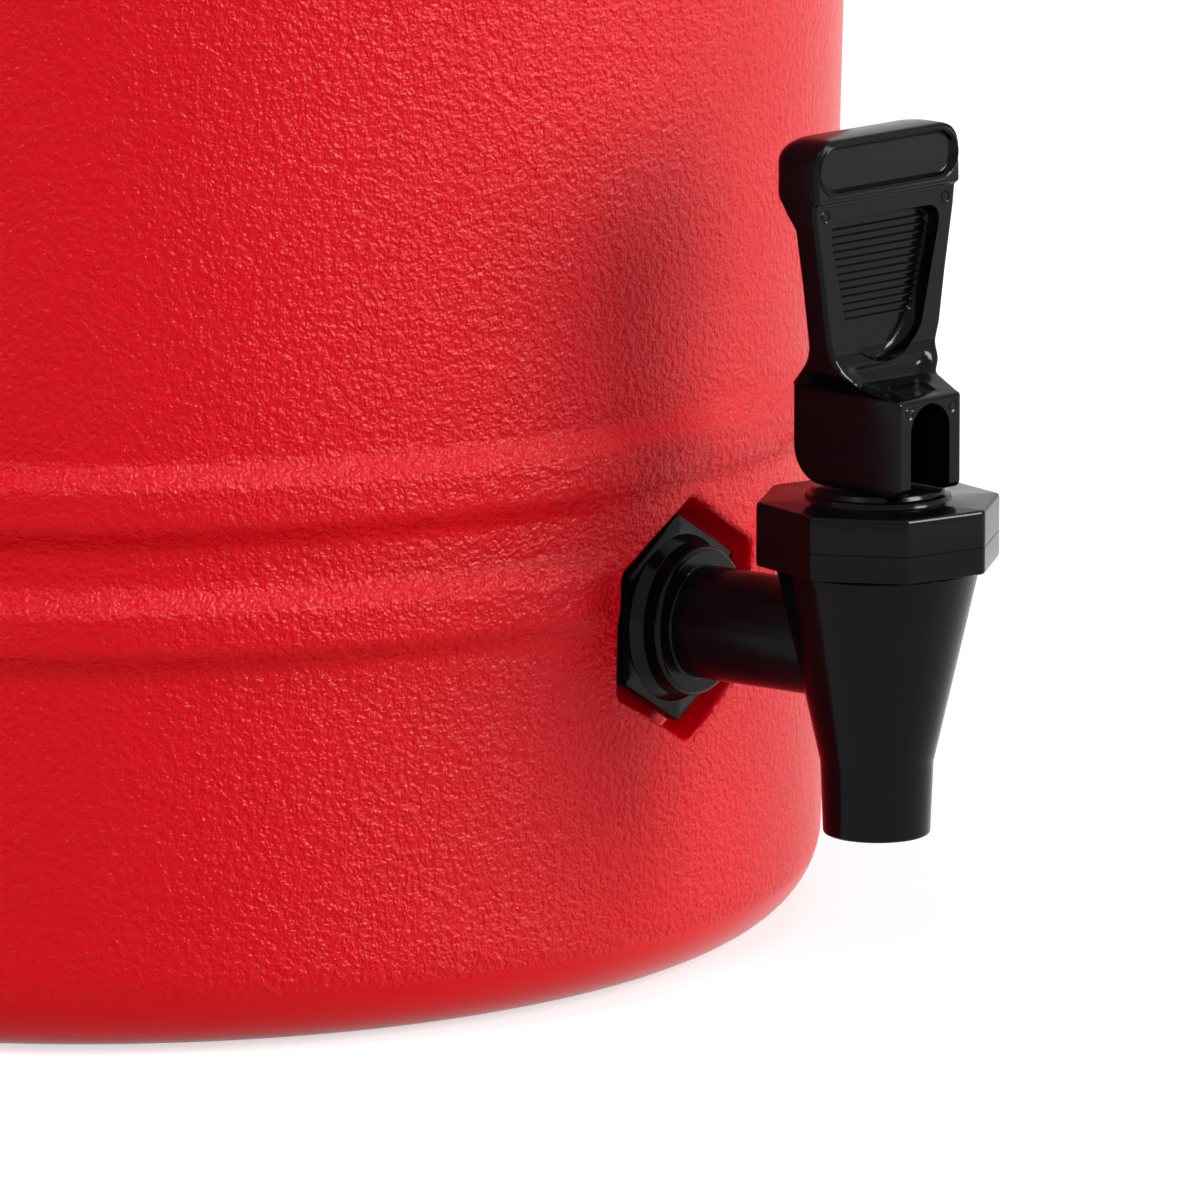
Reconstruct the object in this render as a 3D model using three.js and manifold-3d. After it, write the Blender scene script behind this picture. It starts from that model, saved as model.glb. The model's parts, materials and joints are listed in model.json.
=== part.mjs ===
// Insulated drinks dispenser: a round double-walled body filled with foam, a lid held by four latches
// and a push-and-pull tap that screws into a hexagonal pocket low on the front.
// Millimetres, +Z up. The origin lies on the body's axis, on the surface that the base stands on.
// The tap points along -Y.

import * as THREE from 'three';
import { mergeVertices } from 'three/addons/utils/BufferGeometryUtils.js';
import Module from 'manifold-3d';

// Clearances that all the pieces share. A round that ends another round leaves shortEdge between them.

const fit = {
  gap: 0.3,
  overrun: 4,
  shortEdge: 0.3,
  weldTolerance: 0.0001,
};

// Facet counts of the round pieces

const facets = {
  bodyCount: 36,
  foamCount: 18,
  tapCount: 24,
  smallCount: 12,
  screwCount: 6,
  bevelSteps: 1,
  coarseSteps: 2,
  roundSteps: 3,
  fineSteps: 4,
};

// Body: the drafted outer shell, its foot, its two raised hoops, the foam and the liner

const body = {
  footRadius: 139.5,
  draftAngle: 1.35,
  footRound: 16.5,
  height: 330,
  skin: 4,
  foam: 22,
  liner: 3,
  chamberFloor: 46,
  chamberRound: 11,
  rimFlange: 3,
  fillPlugRadius: 13,
  fillPlugReach: 84,
};

const hoop = {
  lowerCentre: 81.5,
  pitch: 23.5,
  count: 2,
  height: 17,
  crestHeight: 6,
  proud: 3,
};

// Tap: spout, shank and hexagonal flange are one moulding that is clamped through the wall by a nut

const tap = {
  reach: 184,
  shankHeight: 72.2,
  shankRadius: 10.7,
  boreRadius: 6,
  collarRadius: 14.2,
  collarFlare: 2,
  collarLength: 5.5,
  flangeRadius: 20,
  flangeRound: 1.2,
  flangeBevel: 0.3,
  flangeThickness: 3,
  flangeRecess: 2.8,
  tailRadius: 10,
  tailEnd: 93,
  lipHeight: 36.8,
  outletRadius: 10.05,
  outletBoreRadius: 7.2,
  outletLength: 12.8,
  lipRound: 1,
  coneTopRadius: 19,
  coneTopHeight: 88.1,
  seatHeight: 56.4,
  seatRise: 3.6,
  chamberRadius: 13.2,
  wall: 2.2,
  neckRadius: 16.5,
  neckHeight: 7.5,
};

const pocket = {
  cornerCount: 6,
  radius: 23.6,
  floorRadius: 22.6,
  round: 2.4,
};

const washer = {
  outerThickness: 1.5,
  outerRadius: 15.6,
  innerThickness: 2.5,
  innerRadius: 16.5,
  padRadius: 23,
  padProud: 3,
};

const nut = {
  radius: 18.6,
  round: 1,
  thickness: 9,
};

const sleeve = {
  wall: 2.5,
};

// Bonnet: the octagonal cap that screws on the spout's neck, with a round collar under the handle

const bonnet = {
  turnAngle: 3,
  flats: 43,
  round: 1.4,
  height: 12.2,
  edgeBevel: 0.6,
  topPlate: 3.4,
  collarRadius: 13.6,
  collarHeight: 2.3,
  cornerCount: 8,
};

// Valve: the silicone seat cup under the stem, and the cross pin that the handle turns on

const valve = {
  cupRadius: 9.6,
  cupHeight: 17,
  cupWaistRadius: 8.4,
  cupRimHeight: 2,
  cupWaistHeight: 4,
  stemRadius: 4.3,
  stemTopRadius: 3.9,
  stemTaper: 1.6,
  pinHeight: 12.6,
  pinRadius: 1.6,
  pinCover: 1.5,
  stemAbovePin: 2.8,
  footRadius: 7,
  footHeight: 4,
};

// Handle: seen from its own front, which is turned from the tap's by turnAngle

const handle = {
  turnAngle: -8,
  width: 17,
  front: 13.1,
  back: 14.2,
  baseHeight: 17.7,
  camRound: 9,
  frontRound: 1.5,
  ledgeRound: 0.75,
  blendShare: 0.33,
  blendRound: 3.9,
  flankDrop: 3,
  bladeFront: 1.7,
  bladeBack: 4.3,
  waistHeight: 21.4,
  waistWidth: 28.8,
  shoulderHeight: 55.4,
  shoulderWidth: 37.6,
  barWidth: 38.6,
  barHeight: 11,
  barFront: 1.7,
  barBack: 7.9,
  barRound: 4.6,
  barHeelRound: 2.3,
  barHeelDrop: 5.5,
  scoopDepth: 3,
  scoopTopWidth: 32,
  scoopBottomWidth: 17,
  scoopFloorHeight: 23.4,
  scoopTopHeight: 53.6,
  ribCount: 13,
  ribPitch: 1.43,
  ribDepth: 0.5,
  ribHeight: 0.7,
  ribsFrom: 31.2,
  slotWidth: 10.5,
  slotHeight: 16.8,
  slotBehindStem: 1.2,
  panelRim: 1.1,
  panelDepth: 0.6,
  panelHeight: 8.6,
};

// Lid: a foam-filled crown with a plug that enters the body's mouth

const lid = {
  seatGap: 1.5,
  overhang: 1.6,
  flangeHeight: 12,
  ledgeAngle: 30,
  crownInset: 13,
  crownHeight: 45,
  crownDraft: 2.5,
  crownRound: 9,
  rimWidth: 13,
  dishDepth: 4,
  skin: 4,
  liner: 3,
  plugDepth: 26,
  plugClearance: 1.4,
  plugRound: 8,
  ledgeInsetShare: 0.5,
};

const gasket = {
  width: 6,
  height: 3.4,
  inset: 15,
};

const vent = {
  boreRadius: 6,
  bushRadius: 10,
  bushFlangeRadius: 14,
  bushFlange: 2.5,
  bushTail: 2,
  capRadius: 19,
  capHeight: 11,
  capGripCount: 8,
  capGripRadius: 2.6,
  capRound: 1.5,
  stopRadius: 5.2,
  stopLength: 10,
  sealThickness: 1.6,
};

// Latches: each arm pivots on a bracket on the body and hooks over the lid's sloping flange

const latch = {
  angles: [45, 135, 225, 315],
  pivotOut: 10,
  pivotDrop: 50,
  width: 24,
  eyeRadius: 6,
  pinRadius: 2.5,
  armThickness: 6,
  armInset: 3.6,
  armStart: 12,
  elbowRound: 3,
  hookReach: 9,
  hookThickness: 6,
  tabReach: 13,
  tabThickness: 4,
  edgeBevel: 0.8,
  cheekThickness: 4,
  cheekRadius: 7,
  cheekHeel: 14,
  cheekHeelRound: 3.5,
  plateThickness: 4,
  plateAbove: 8,
  plateBelow: 36,
  screwSpacing: 14,
};

const screw = {
  headRadius: 4.2,
  headHeight: 2.4,
  headTaper: 1.2,
  shankRadius: 2,
  shankLength: 7.4,
};

// Side handles: a curved grip between two feet on each side of the body

const grip = {
  angles: [0, 180],
  height: 236,
  reach: 40,
  span: 104,
  gripWidth: 22,
  gripThickness: 17,
  gripRound: 5.6,
  cornerRound: 24,
  legInset: 8.5,
  footWidth: 34,
  footHeight: 44,
  footThickness: 7,
  footRound: 9,
  screwOut: 9,
  screwLength: 13.4,
  pathSteps: 12,
};

// Finishes of the real materials

const finishes = {
  redPolyethylene: { color: 0xcc0712, roughness: 0.5, metalness: 0 },
  foam: { color: 0xe8dcb0, roughness: 0.95, metalness: 0 },
  naturalPolyethylene: { color: 0xf1efe8, roughness: 0.5, metalness: 0 },
  blackPlastic: { color: 0x101214, roughness: 0.28, metalness: 0 },
  silicone: { color: 0xdedcd6, roughness: 0.6, metalness: 0 },
  steel: { color: 0xb9bcc0, roughness: 0.3, metalness: 1 },
};

const wasm = await Module();
wasm.setup();

const root = new THREE.Group();
const radians = THREE.MathUtils.degToRad;

// Solids: every shape below is a three.js geometry, and booleans go through these functions

function toSolid(geometry) {
  const bare = geometry.clone();
  bare.deleteAttribute('normal');
  bare.deleteAttribute('uv');
  const merged = mergeVertices(bare, fit.weldTolerance);
  const corners = merged.index.array;
  const kept = [];
  for (let i = 0; i < corners.length; i += 3) {
    const [a, b, c] = [corners[i], corners[i + 1], corners[i + 2]];
    if (a !== b && b !== c && c !== a) kept.push(a, b, c);
  }
  const vertProperties = new Float32Array(merged.attributes.position.array);
  const build = () => {
    const mesh = new wasm.Mesh({ numProp: 3, vertProperties, triVerts: new Uint32Array(kept) });
    return new wasm.Manifold(mesh);
  };
  const solid = build();
  if (solid.volume() > 0) return solid;
  kept.reverse();
  return build();
}

function toGeometry(solid) {
  const mesh = solid.getMesh();
  const geometry = new THREE.BufferGeometry();
  const positions = new Float32Array(mesh.vertProperties);
  geometry.setAttribute('position', new THREE.BufferAttribute(positions, 3));
  geometry.setIndex(new THREE.BufferAttribute(new Uint32Array(mesh.triVerts), 1));
  return geometry;
}

function combine(how, first, others) {
  return toGeometry(others.reduce((solid, other) => solid[how](toSolid(other)), toSolid(first)));
}

const join = (first, ...others) => combine('add', first, others);
const cut = (first, ...others) => combine('subtract', first, others);
const overlap = (first, ...others) => combine('intersect', first, others);

function piece(name, geometry, finish, parent = root) {
  const shaded = toGeometry(toSolid(geometry)).toNonIndexed();
  shaded.computeVertexNormals();
  const mesh = new THREE.Mesh(shaded, new THREE.MeshStandardMaterial(finishes[finish]));
  mesh.name = name;
  parent.add(mesh);
  return mesh;
}

// Shapes

// A profile of [radius, height] pairs turned about the Z axis.
function revolve(profile, count) {
  const closed = profile[0][0] === 0 && profile.at(-1)[0] === 0 ? profile : [...profile, profile[0]];
  const points = closed.map(([radius, height]) => new THREE.Vector2(radius, height));
  return new THREE.LatheGeometry(points, count).rotateX(Math.PI / 2);
}

// A solid rod along Z between two heights.
function rod(radius, from, to, count) {
  return revolve([[0, from], [radius, from], [radius, to], [0, to]], count);
}

// A tube along Z between two heights.
function tube(inner, outer, from, to, count) {
  return revolve([[inner, from], [outer, from], [outer, to], [inner, to]], count);
}

// Points of an arc about [x, y], with both its ends.
function arc(x, y, radius, startAngle, endAngle, steps) {
  return Array.from({ length: steps + 1 }, (_, i) => {
    const angle = radians(startAngle + ((endAngle - startAngle) * i) / steps);
    return [x + radius * Math.cos(angle), y + radius * Math.sin(angle)];
  });
}

// A closed outline whose corners [x, y, round] are arcs where round is over zero.
function outline(corners, steps = facets.roundSteps) {
  const points = [];
  corners.forEach(([x, y, round = 0], i) => {
    const corner = new THREE.Vector2(x, y);
    if (round === 0) {
      points.push(corner);
      return;
    }
    const [px, py] = corners.at(i - 1);
    const [nx, ny] = corners[(i + 1) % corners.length];
    const before = new THREE.Vector2(px, py).sub(corner).normalize();
    const after = new THREE.Vector2(nx, ny).sub(corner).normalize();
    const half = Math.acos(THREE.MathUtils.clamp(before.dot(after), -1, 1)) / 2;
    const centre = before.clone().add(after).normalize().multiplyScalar(round / Math.sin(half)).add(corner);
    const tangent = round / Math.tan(half);
    const first = corner.clone().addScaledVector(before, tangent).sub(centre);
    const last = corner.clone().addScaledVector(after, tangent).sub(centre);
    const turn = Math.atan2(first.cross(last), first.dot(last));
    for (let step = 0; step <= steps; step += 1) {
      points.push(first.clone().rotateAround(new THREE.Vector2(), (turn * step) / steps).add(centre));
    }
  });
  return points;
}

// A regular polygon with rounded corners, the first one at startAngle.
function polygon(count, radius, round, startAngle) {
  const corners = Array.from({ length: count }, (_, i) => {
    const angle = radians(startAngle + (360 * i) / count);
    return [radius * Math.cos(angle), radius * Math.sin(angle), round];
  });
  return outline(corners, facets.coarseSteps);
}

// The corners of a rectangle about the origin, all with one round.
function box(width, height, round) {
  const [x, y] = [width / 2, height / 2];
  return [[-x, -y, round], [x, -y, round], [x, y, round], [-x, y, round]];
}

// A slab of an outline in XY, from one height to another, with optional bevelled rims.
function slab(points, from, to, bevel = 0) {
  const geometry = new THREE.ExtrudeGeometry(new THREE.Shape(points), {
    depth: to - from - 2 * bevel,
    steps: 1,
    bevelEnabled: bevel > 0,
    bevelThickness: bevel,
    bevelSize: bevel,
    bevelOffset: -bevel,
    bevelSegments: 1,
  });
  return geometry.translate(0, 0, from + bevel);
}

// The slab lies in XZ instead, and from and to count along -Y.
const frontSlab = (points, from, to, bevel) => slab(points, from, to, bevel).rotateX(Math.PI / 2);

// The outline's x and y become Y and Z, and from and to count along X.
function sideSlab(points, from, to, bevel) {
  const geometry = slab(points, from, to, bevel);
  return geometry.applyMatrix4(new THREE.Matrix4().makeBasis(
    new THREE.Vector3(0, 1, 0), new THREE.Vector3(0, 0, 1), new THREE.Vector3(1, 0, 0)));
}

// A loft between two outlines of equally many points, at two heights, along -Y as frontSlab is.
function frontLoft(lower, upper, from, to) {
  const count = lower.length;
  const ring = (points, height) => points.flatMap(({ x, y }) => [x, -height, y]);
  const centres = [0, -from, 0, 0, -to, 0];
  const index = [];
  for (let i = 0; i < count; i += 1) {
    const next = (i + 1) % count;
    index.push(i, next, count + i, next, count + next, count + i);
    index.push(2 * count, next, i, 2 * count + 1, count + i, count + next);
  }
  const geometry = new THREE.BufferGeometry();
  const positions = [...ring(lower, from), ...ring(upper, to), ...centres];
  geometry.setAttribute('position', new THREE.Float32BufferAttribute(positions, 3));
  geometry.setIndex(index);
  return geometry;
}

// Body

const draft = Math.tan(radians(body.draftAngle));
const wallRadius = (height, inset = 0) => body.footRadius - inset + height * draft;
const wallInset = body.skin + body.foam + body.liner + 2 * fit.gap;
const hoopCentres = Array.from({ length: hoop.count }, (_, i) => hoop.lowerCentre + i * hoop.pitch);
const shellTop = body.height - body.rimFlange - fit.gap;

// The outer line of a cup, from its axis at the foot to its rim, set in from the outside by inset.
function cupLine(inset, floor, top, round, steps) {
  const line = arc(wallRadius(floor + round, inset) - round, floor + round, round, -90, 0, steps);
  return [[0, floor], ...line, [wallRadius(top, inset), top]];
}

function hoopLine(centre) {
  const half = hoop.height / 2;
  const crest = hoop.crestHeight / 2;
  return [
    [wallRadius(centre - half), centre - half],
    [wallRadius(centre - crest) + hoop.proud, centre - crest],
    [wallRadius(centre + crest) + hoop.proud, centre + crest],
    [wallRadius(centre + half), centre + half],
  ];
}

const flangeFront = wallRadius(tap.shankHeight) - tap.flangeRecess;
const flangeBack = flangeFront - tap.flangeThickness;
const pocketFloor = flangeBack - washer.outerThickness - 2 * fit.gap;
const skinBack = pocketFloor - body.skin;
const linerBack = wallRadius(tap.shankHeight, body.skin + body.foam + 2 * fit.gap);
const chamberRadiusAtTap = wallRadius(tap.shankHeight, wallInset);
const padFace = chamberRadiusAtTap - washer.padProud;
const throughRadius = tap.tailRadius + 2 * fit.gap;

// Moves a piece built about the origin, along -Y, to the height of the tap's shank.
const atShank = (geometry) => geometry.translate(0, 0, tap.shankHeight);
const shankRod = (radius, from, to) => atShank(rod(radius, from, to, facets.tapCount).rotateX(Math.PI / 2));
const shankTube = (inner, outer, from, to) => (
  atShank(tube(inner, outer, from, to, facets.tapCount).rotateX(Math.PI / 2)));

function pocketSolid(grow, from) {
  const lower = polygon(pocket.cornerCount, pocket.floorRadius + grow, pocket.round, 90);
  const upper = polygon(pocket.cornerCount, pocket.radius + grow, pocket.round, 90);
  const front = wallRadius(tap.shankHeight) + hoop.proud + fit.overrun;
  return atShank(frontLoft(lower, upper, from, front));
}

function outerShell() {
  const outer = cupLine(0, 0, shellTop, body.footRound, facets.fineSteps);
  outer.splice(-1, 0, ...hoopCentres.flatMap(hoopLine));
  const insideRound = body.footRound - body.skin;
  const inner = cupLine(body.skin, body.skin, shellTop, insideRound, facets.coarseSteps);
  const shell = revolve([...outer, ...inner.reverse()], facets.bodyCount);
  const envelope = revolve([...outer, [0, shellTop]], facets.bodyCount);
  const cup = join(shell, overlap(pocketSolid(body.skin, skinBack), envelope));
  const fillRadius = body.fillPlugRadius + fit.gap;
  const fillHole = rod(fillRadius, -fit.overrun, body.skin + fit.overrun, facets.tapCount);
  return cut(
    cup,
    pocketSolid(0, pocketFloor),
    shankRod(throughRadius, skinBack - fit.overrun, pocketFloor + fit.overrun),
    fillHole.translate(0, body.fillPlugReach, 0),
    ...mountHoles(),
  );
}

function foamCore() {
  const gap = fit.gap;
  const steps = facets.coarseSteps;
  const skin = body.skin + gap;
  const outer = cupLine(skin, skin, shellTop - gap, body.footRound - body.skin, steps);
  const floor = body.chamberFloor - body.liner - gap;
  const inset = body.skin + body.foam + gap;
  const inner = cupLine(inset, floor, shellTop - gap, body.chamberRound, steps);
  // The foam has fewer facets than the shell round it and the liner inside it, so its corners are moved
  // in from the shell's facets and its own facets are moved out from the liner's corners.
  const scaled = (line, share) => line.map(([radius, height]) => [radius * share, height]);
  const outside = scaled(outer, Math.cos(Math.PI / facets.bodyCount));
  const inside = scaled(inner, 1 / Math.cos(Math.PI / facets.foamCount));
  const core = revolve([...outside, ...inside.reverse()], facets.foamCount);
  return cut(
    core,
    pocketSolid(skin, skinBack - gap),
    shankRod(throughRadius + sleeve.wall + gap, linerBack - fit.overrun, skinBack),
  );
}

function innerLiner() {
  const outside = body.skin + body.foam + 2 * fit.gap;
  const steps = facets.coarseSteps;
  const foot = body.chamberFloor - body.liner;
  const outer = cupLine(outside, foot, shellTop + fit.gap, body.chamberRound, steps);
  const insideRound = body.chamberRound - body.liner;
  const inner = cupLine(wallInset, body.chamberFloor, body.height, insideRound, steps);
  const lip = [[wallRadius(body.height), shellTop + fit.gap], [wallRadius(body.height), body.height]];
  const cup = revolve([...outer, ...lip, ...inner.reverse()], facets.bodyCount);
  const envelope = revolve([...outer, [0, shellTop]], facets.bodyCount);
  const pad = overlap(shankRod(washer.padRadius, padFace, linerBack), envelope);
  return cut(join(cup, pad), shankRod(throughRadius, padFace - fit.overrun, linerBack + fit.overrun));
}

function fillPlug() {
  const plug = rod(body.fillPlugRadius, fit.gap, body.skin, facets.tapCount);
  return plug.translate(0, body.fillPlugReach, 0);
}

// Tap

const tapAxis = new THREE.Group();
tapAxis.position.y = -tap.reach;
root.add(tapAxis);

// The same shank pieces, but in the frame of the tap's own axis.
const onTap = (geometry) => geometry.translate(0, tap.reach, 0);

const coneFoot = tap.lipHeight + tap.outletLength;
const seatTop = tap.seatHeight + tap.seatRise;
const coneShare = (seatTop - coneFoot) / (tap.coneTopHeight - coneFoot);
const seatRadius = THREE.MathUtils.lerp(tap.outletRadius, tap.coneTopRadius, coneShare) - tap.wall;

function tapBody() {
  const neckTop = tap.coneTopHeight + tap.neckHeight;
  const lipCentre = [tap.outletRadius - tap.lipRound, tap.lipHeight + tap.lipRound];
  const lip = arc(...lipCentre, tap.lipRound, -90, 0, facets.coarseSteps);
  const spout = revolve([
    [0, tap.lipHeight],
    ...lip,
    [tap.outletRadius, coneFoot],
    [tap.coneTopRadius, tap.coneTopHeight],
    [tap.neckRadius, tap.coneTopHeight],
    [tap.neckRadius, neckTop],
    [0, neckTop],
  ], facets.tapCount);
  const waterway = revolve([
    [0, tap.lipHeight - fit.overrun],
    [tap.outletBoreRadius, tap.lipHeight - fit.overrun],
    [tap.outletBoreRadius, tap.seatHeight],
    [seatRadius, seatTop],
    [tap.chamberRadius, tap.coneTopHeight],
    [tap.chamberRadius, neckTop + fit.overrun],
    [0, neckTop + fit.overrun],
  ], facets.tapCount);
  const collar = revolve([
    [0, flangeFront - fit.gap],
    [tap.collarRadius + tap.collarFlare, flangeFront - fit.gap],
    [tap.collarRadius, flangeFront + tap.lipRound],
    [tap.collarRadius, flangeFront + tap.collarLength - tap.lipRound],
    [tap.collarRadius - tap.lipRound, flangeFront + tap.collarLength],
    [0, flangeFront + tap.collarLength],
  ], facets.tapCount).rotateX(Math.PI / 2);
  const hexagon = polygon(pocket.cornerCount, tap.flangeRadius, tap.flangeRound, 90);
  const flange = atShank(frontSlab(hexagon, flangeBack, flangeFront, tap.flangeBevel));
  const solid = join(
    spout,
    onTap(shankRod(tap.shankRadius, flangeBack, tap.reach)),
    onTap(atShank(collar)),
    onTap(flange),
    onTap(shankRod(tap.tailRadius, tap.tailEnd, flangeFront)),
  );
  return cut(solid, waterway, onTap(shankRod(tap.boreRadius, tap.tailEnd - fit.overrun, tap.reach)));
}

const bonnetFoot = tap.coneTopHeight + fit.gap;
const bonnetTop = bonnetFoot + bonnet.height;
const collarTop = bonnetTop + bonnet.collarHeight;

function tapBonnet() {
  const cornerRadius = bonnet.flats / 2 / Math.cos(Math.PI / bonnet.cornerCount);
  const octagon = polygon(bonnet.cornerCount, cornerRadius, bonnet.round, 90 + bonnet.turnAngle);
  const cap = slab(octagon, bonnetFoot, bonnetTop, bonnet.edgeBevel);
  const plateFoot = bonnetTop - bonnet.topPlate;
  const collar = rod(bonnet.collarRadius, plateFoot, collarTop, facets.tapCount);
  const thread = rod(tap.neckRadius + fit.gap, bonnetFoot - fit.overrun, plateFoot, facets.tapCount);
  const hole = rod(valve.stemRadius + fit.gap, bonnetFoot, collarTop + fit.overrun, facets.smallCount);
  return cut(join(cap, collar), thread, hole);
}

const seatSlope = (seatTop - tap.seatHeight) / (seatRadius - tap.outletBoreRadius);
const cupFoot = tap.seatHeight + 2 * fit.gap;
const pinHeight = collarTop + fit.gap + valve.pinHeight;
const stemFoot = cupFoot + valve.cupHeight - valve.footHeight;

function seatCup() {
  const top = cupFoot + valve.cupHeight;
  const seatLine = cupFoot + (valve.cupRadius - tap.outletBoreRadius) * seatSlope;
  const cup = revolve([
    [0, cupFoot],
    [tap.outletBoreRadius, cupFoot],
    [valve.cupRadius, seatLine],
    [valve.cupRadius, seatLine + valve.cupRimHeight],
    [valve.cupWaistRadius, seatLine + valve.cupWaistHeight],
    [valve.cupRadius, top],
    [0, top],
  ], facets.smallCount);
  const footRoom = rod(valve.footRadius + fit.gap, stemFoot - fit.gap, top - fit.gap, facets.smallCount);
  const stemRoom = rod(valve.stemRadius + fit.gap, stemFoot, top + fit.overrun, facets.smallCount);
  return cut(cup, footRoom, stemRoom);
}

function valveStem() {
  const shoulder = collarTop;
  const top = pinHeight + valve.stemAbovePin;
  const stem = revolve([
    [0, stemFoot],
    [valve.footRadius, stemFoot],
    [valve.footRadius, stemFoot + valve.footHeight - 2 * fit.gap],
    [valve.stemRadius, stemFoot + valve.footHeight - 2 * fit.gap],
    [valve.stemRadius, shoulder],
    [valve.stemTopRadius, shoulder + valve.stemTaper],
    [valve.stemTopRadius, top - valve.stemTaper],
    [valve.stemTopRadius - valve.stemTaper, top],
    [0, top],
  ], facets.smallCount);
  return cut(stem, crossRod(valve.pinRadius + fit.gap, handle.width));
}

// A rod along the handle's own X axis through the cross pin's centre.
function crossRod(radius, length) {
  const bar = rod(radius, -length / 2, length / 2, facets.smallCount).rotateY(Math.PI / 2);
  return bar.translate(0, 0, pinHeight);
}

const handleFoot = collarTop + fit.gap;
const handlePinLength = handle.width - 2 * valve.pinCover;

// The handle seen from its side: the cam foot, the blade and the bar, front on the left.
function handleSide() {
  const z = (height) => handleFoot + height;
  const blend = handle.blendShare * (handle.front - handle.bladeFront);
  return outline([
    [-handle.front, z(0), handle.frontRound],
    [-handle.front, z(handle.baseHeight), handle.ledgeRound],
    [-handle.bladeFront - blend, z(handle.waistHeight)],
    [-handle.bladeFront, z(handle.waistHeight + blend), handle.blendRound],
    [-handle.bladeFront, z(handle.shoulderHeight)],
    [-handle.barFront, z(handle.shoulderHeight)],
    [-handle.barFront, z(handle.shoulderHeight + handle.barHeight), handle.frontRound],
    [handle.barBack, z(handle.shoulderHeight + handle.barHeight), handle.barRound],
    [handle.barBack, z(handle.shoulderHeight), handle.barHeelRound],
    [handle.bladeBack, z(handle.shoulderHeight - handle.barHeelDrop)],
    [handle.bladeBack, z(handle.waistHeight + handle.flankDrop), handle.camRound],
    [handle.back, z(handle.waistHeight - handle.flankDrop), handle.frontRound],
    [handle.back, z(0), handle.camRound],
  ]);
}

// The handle seen from its front.
function handleFront() {
  const z = (height) => handleFoot + height;
  const midHeight = (handle.waistHeight + handle.shoulderHeight) / 2;
  const midWidth = (handle.waistWidth + handle.shoulderWidth) / 2;
  const half = [
    [handle.width / 2, z(0)],
    [handle.width / 2, z(handle.baseHeight - handle.flankDrop)],
    [handle.waistWidth / 2, z(handle.waistHeight + handle.frontRound), handle.camRound],
    [midWidth / 2, z(midHeight)],
    [handle.shoulderWidth / 2, z(handle.shoulderHeight - handle.barRound), handle.camRound],
    [handle.barWidth / 2, z(handle.shoulderHeight)],
    [handle.barWidth / 2, z(handle.shoulderHeight + handle.barHeight), handle.barRound],
  ];
  const mirrored = half.map(([x, y, round]) => [-x, y, round]).reverse();
  return outline([...half, ...mirrored], facets.fineSteps);
}

// The finger scoop: a shield that narrows to a round end.
function scoopOutline() {
  const top = handleFoot + handle.scoopTopHeight;
  const foot = handleFoot + handle.scoopFloorHeight;
  return outline([
    [handle.scoopTopWidth / 2, top, handle.frontRound],
    [-handle.scoopTopWidth / 2, top, handle.frontRound],
    [-handle.scoopBottomWidth / 2, foot, handle.scoopBottomWidth / 2 - fit.shortEdge],
    [handle.scoopBottomWidth / 2, foot, handle.scoopBottomWidth / 2 - fit.shortEdge],
  ], facets.fineSteps);
}

// One finger rib on the scoop's floor, as wide as the scoop is at its height.
function fingerRib(number) {
  const low = handleFoot + handle.ribsFrom + number * handle.ribPitch;
  const share = (handle.ribsFrom + number * handle.ribPitch - handle.scoopFloorHeight)
    / (handle.scoopTopHeight - handle.scoopFloorHeight);
  const half = THREE.MathUtils.lerp(handle.scoopBottomWidth, handle.scoopTopWidth, share) / 2;
  const floor = handle.bladeFront - handle.scoopDepth;
  const end = half + handle.panelRim;
  const high = low + handle.ribHeight;
  const bar = outline([[-end, low], [end, low], [end, high], [-end, high]]);
  return frontSlab(bar, floor - handle.ribDepth, floor + handle.ribDepth);
}

function tapHandle() {
  const side = sideSlab(handleSide(), -handle.barWidth, handle.barWidth);
  const front = frontSlab(handleFront(), -handle.back - fit.overrun, handle.front + fit.overrun);
  const form = overlap(side, front);
  const floor = handle.bladeFront - handle.scoopDepth;
  const scoop = frontSlab(scoopOutline(), floor, handle.front + fit.overrun);
  const archTop = handleFoot + handle.slotHeight;
  const archRound = handle.slotWidth / 2 - fit.shortEdge;
  const slot = frontSlab(outline([
    [-handle.slotWidth / 2, handleFoot - fit.overrun],
    [handle.slotWidth / 2, handleFoot - fit.overrun],
    [handle.slotWidth / 2, archTop, archRound],
    [-handle.slotWidth / 2, archTop, archRound],
  ], facets.fineSteps), -valve.stemTopRadius - handle.slotBehindStem, handle.front + fit.overrun);
  const panelFoot = handleFoot + handle.shoulderHeight + handle.panelRim;
  const panelHalf = handle.barWidth / 2 - handle.panelRim;
  const panelRound = handle.panelHeight / 2 - fit.shortEdge;
  const panel = frontSlab(outline([
    [-panelHalf, panelFoot, panelRound],
    [panelHalf, panelFoot, panelRound],
    [panelHalf, panelFoot + handle.panelHeight, panelRound],
    [-panelHalf, panelFoot + handle.panelHeight, panelRound],
  ], facets.fineSteps), handle.barFront - handle.panelDepth, handle.barFront + fit.overrun);
  const pinBore = crossRod(valve.pinRadius + fit.gap, handlePinLength + 2 * fit.gap);
  const open = cut(form, scoop, slot, panel, pinBore);
  return join(open, ...Array.from({ length: handle.ribCount }, (_, i) => fingerRib(i)));
}

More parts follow.
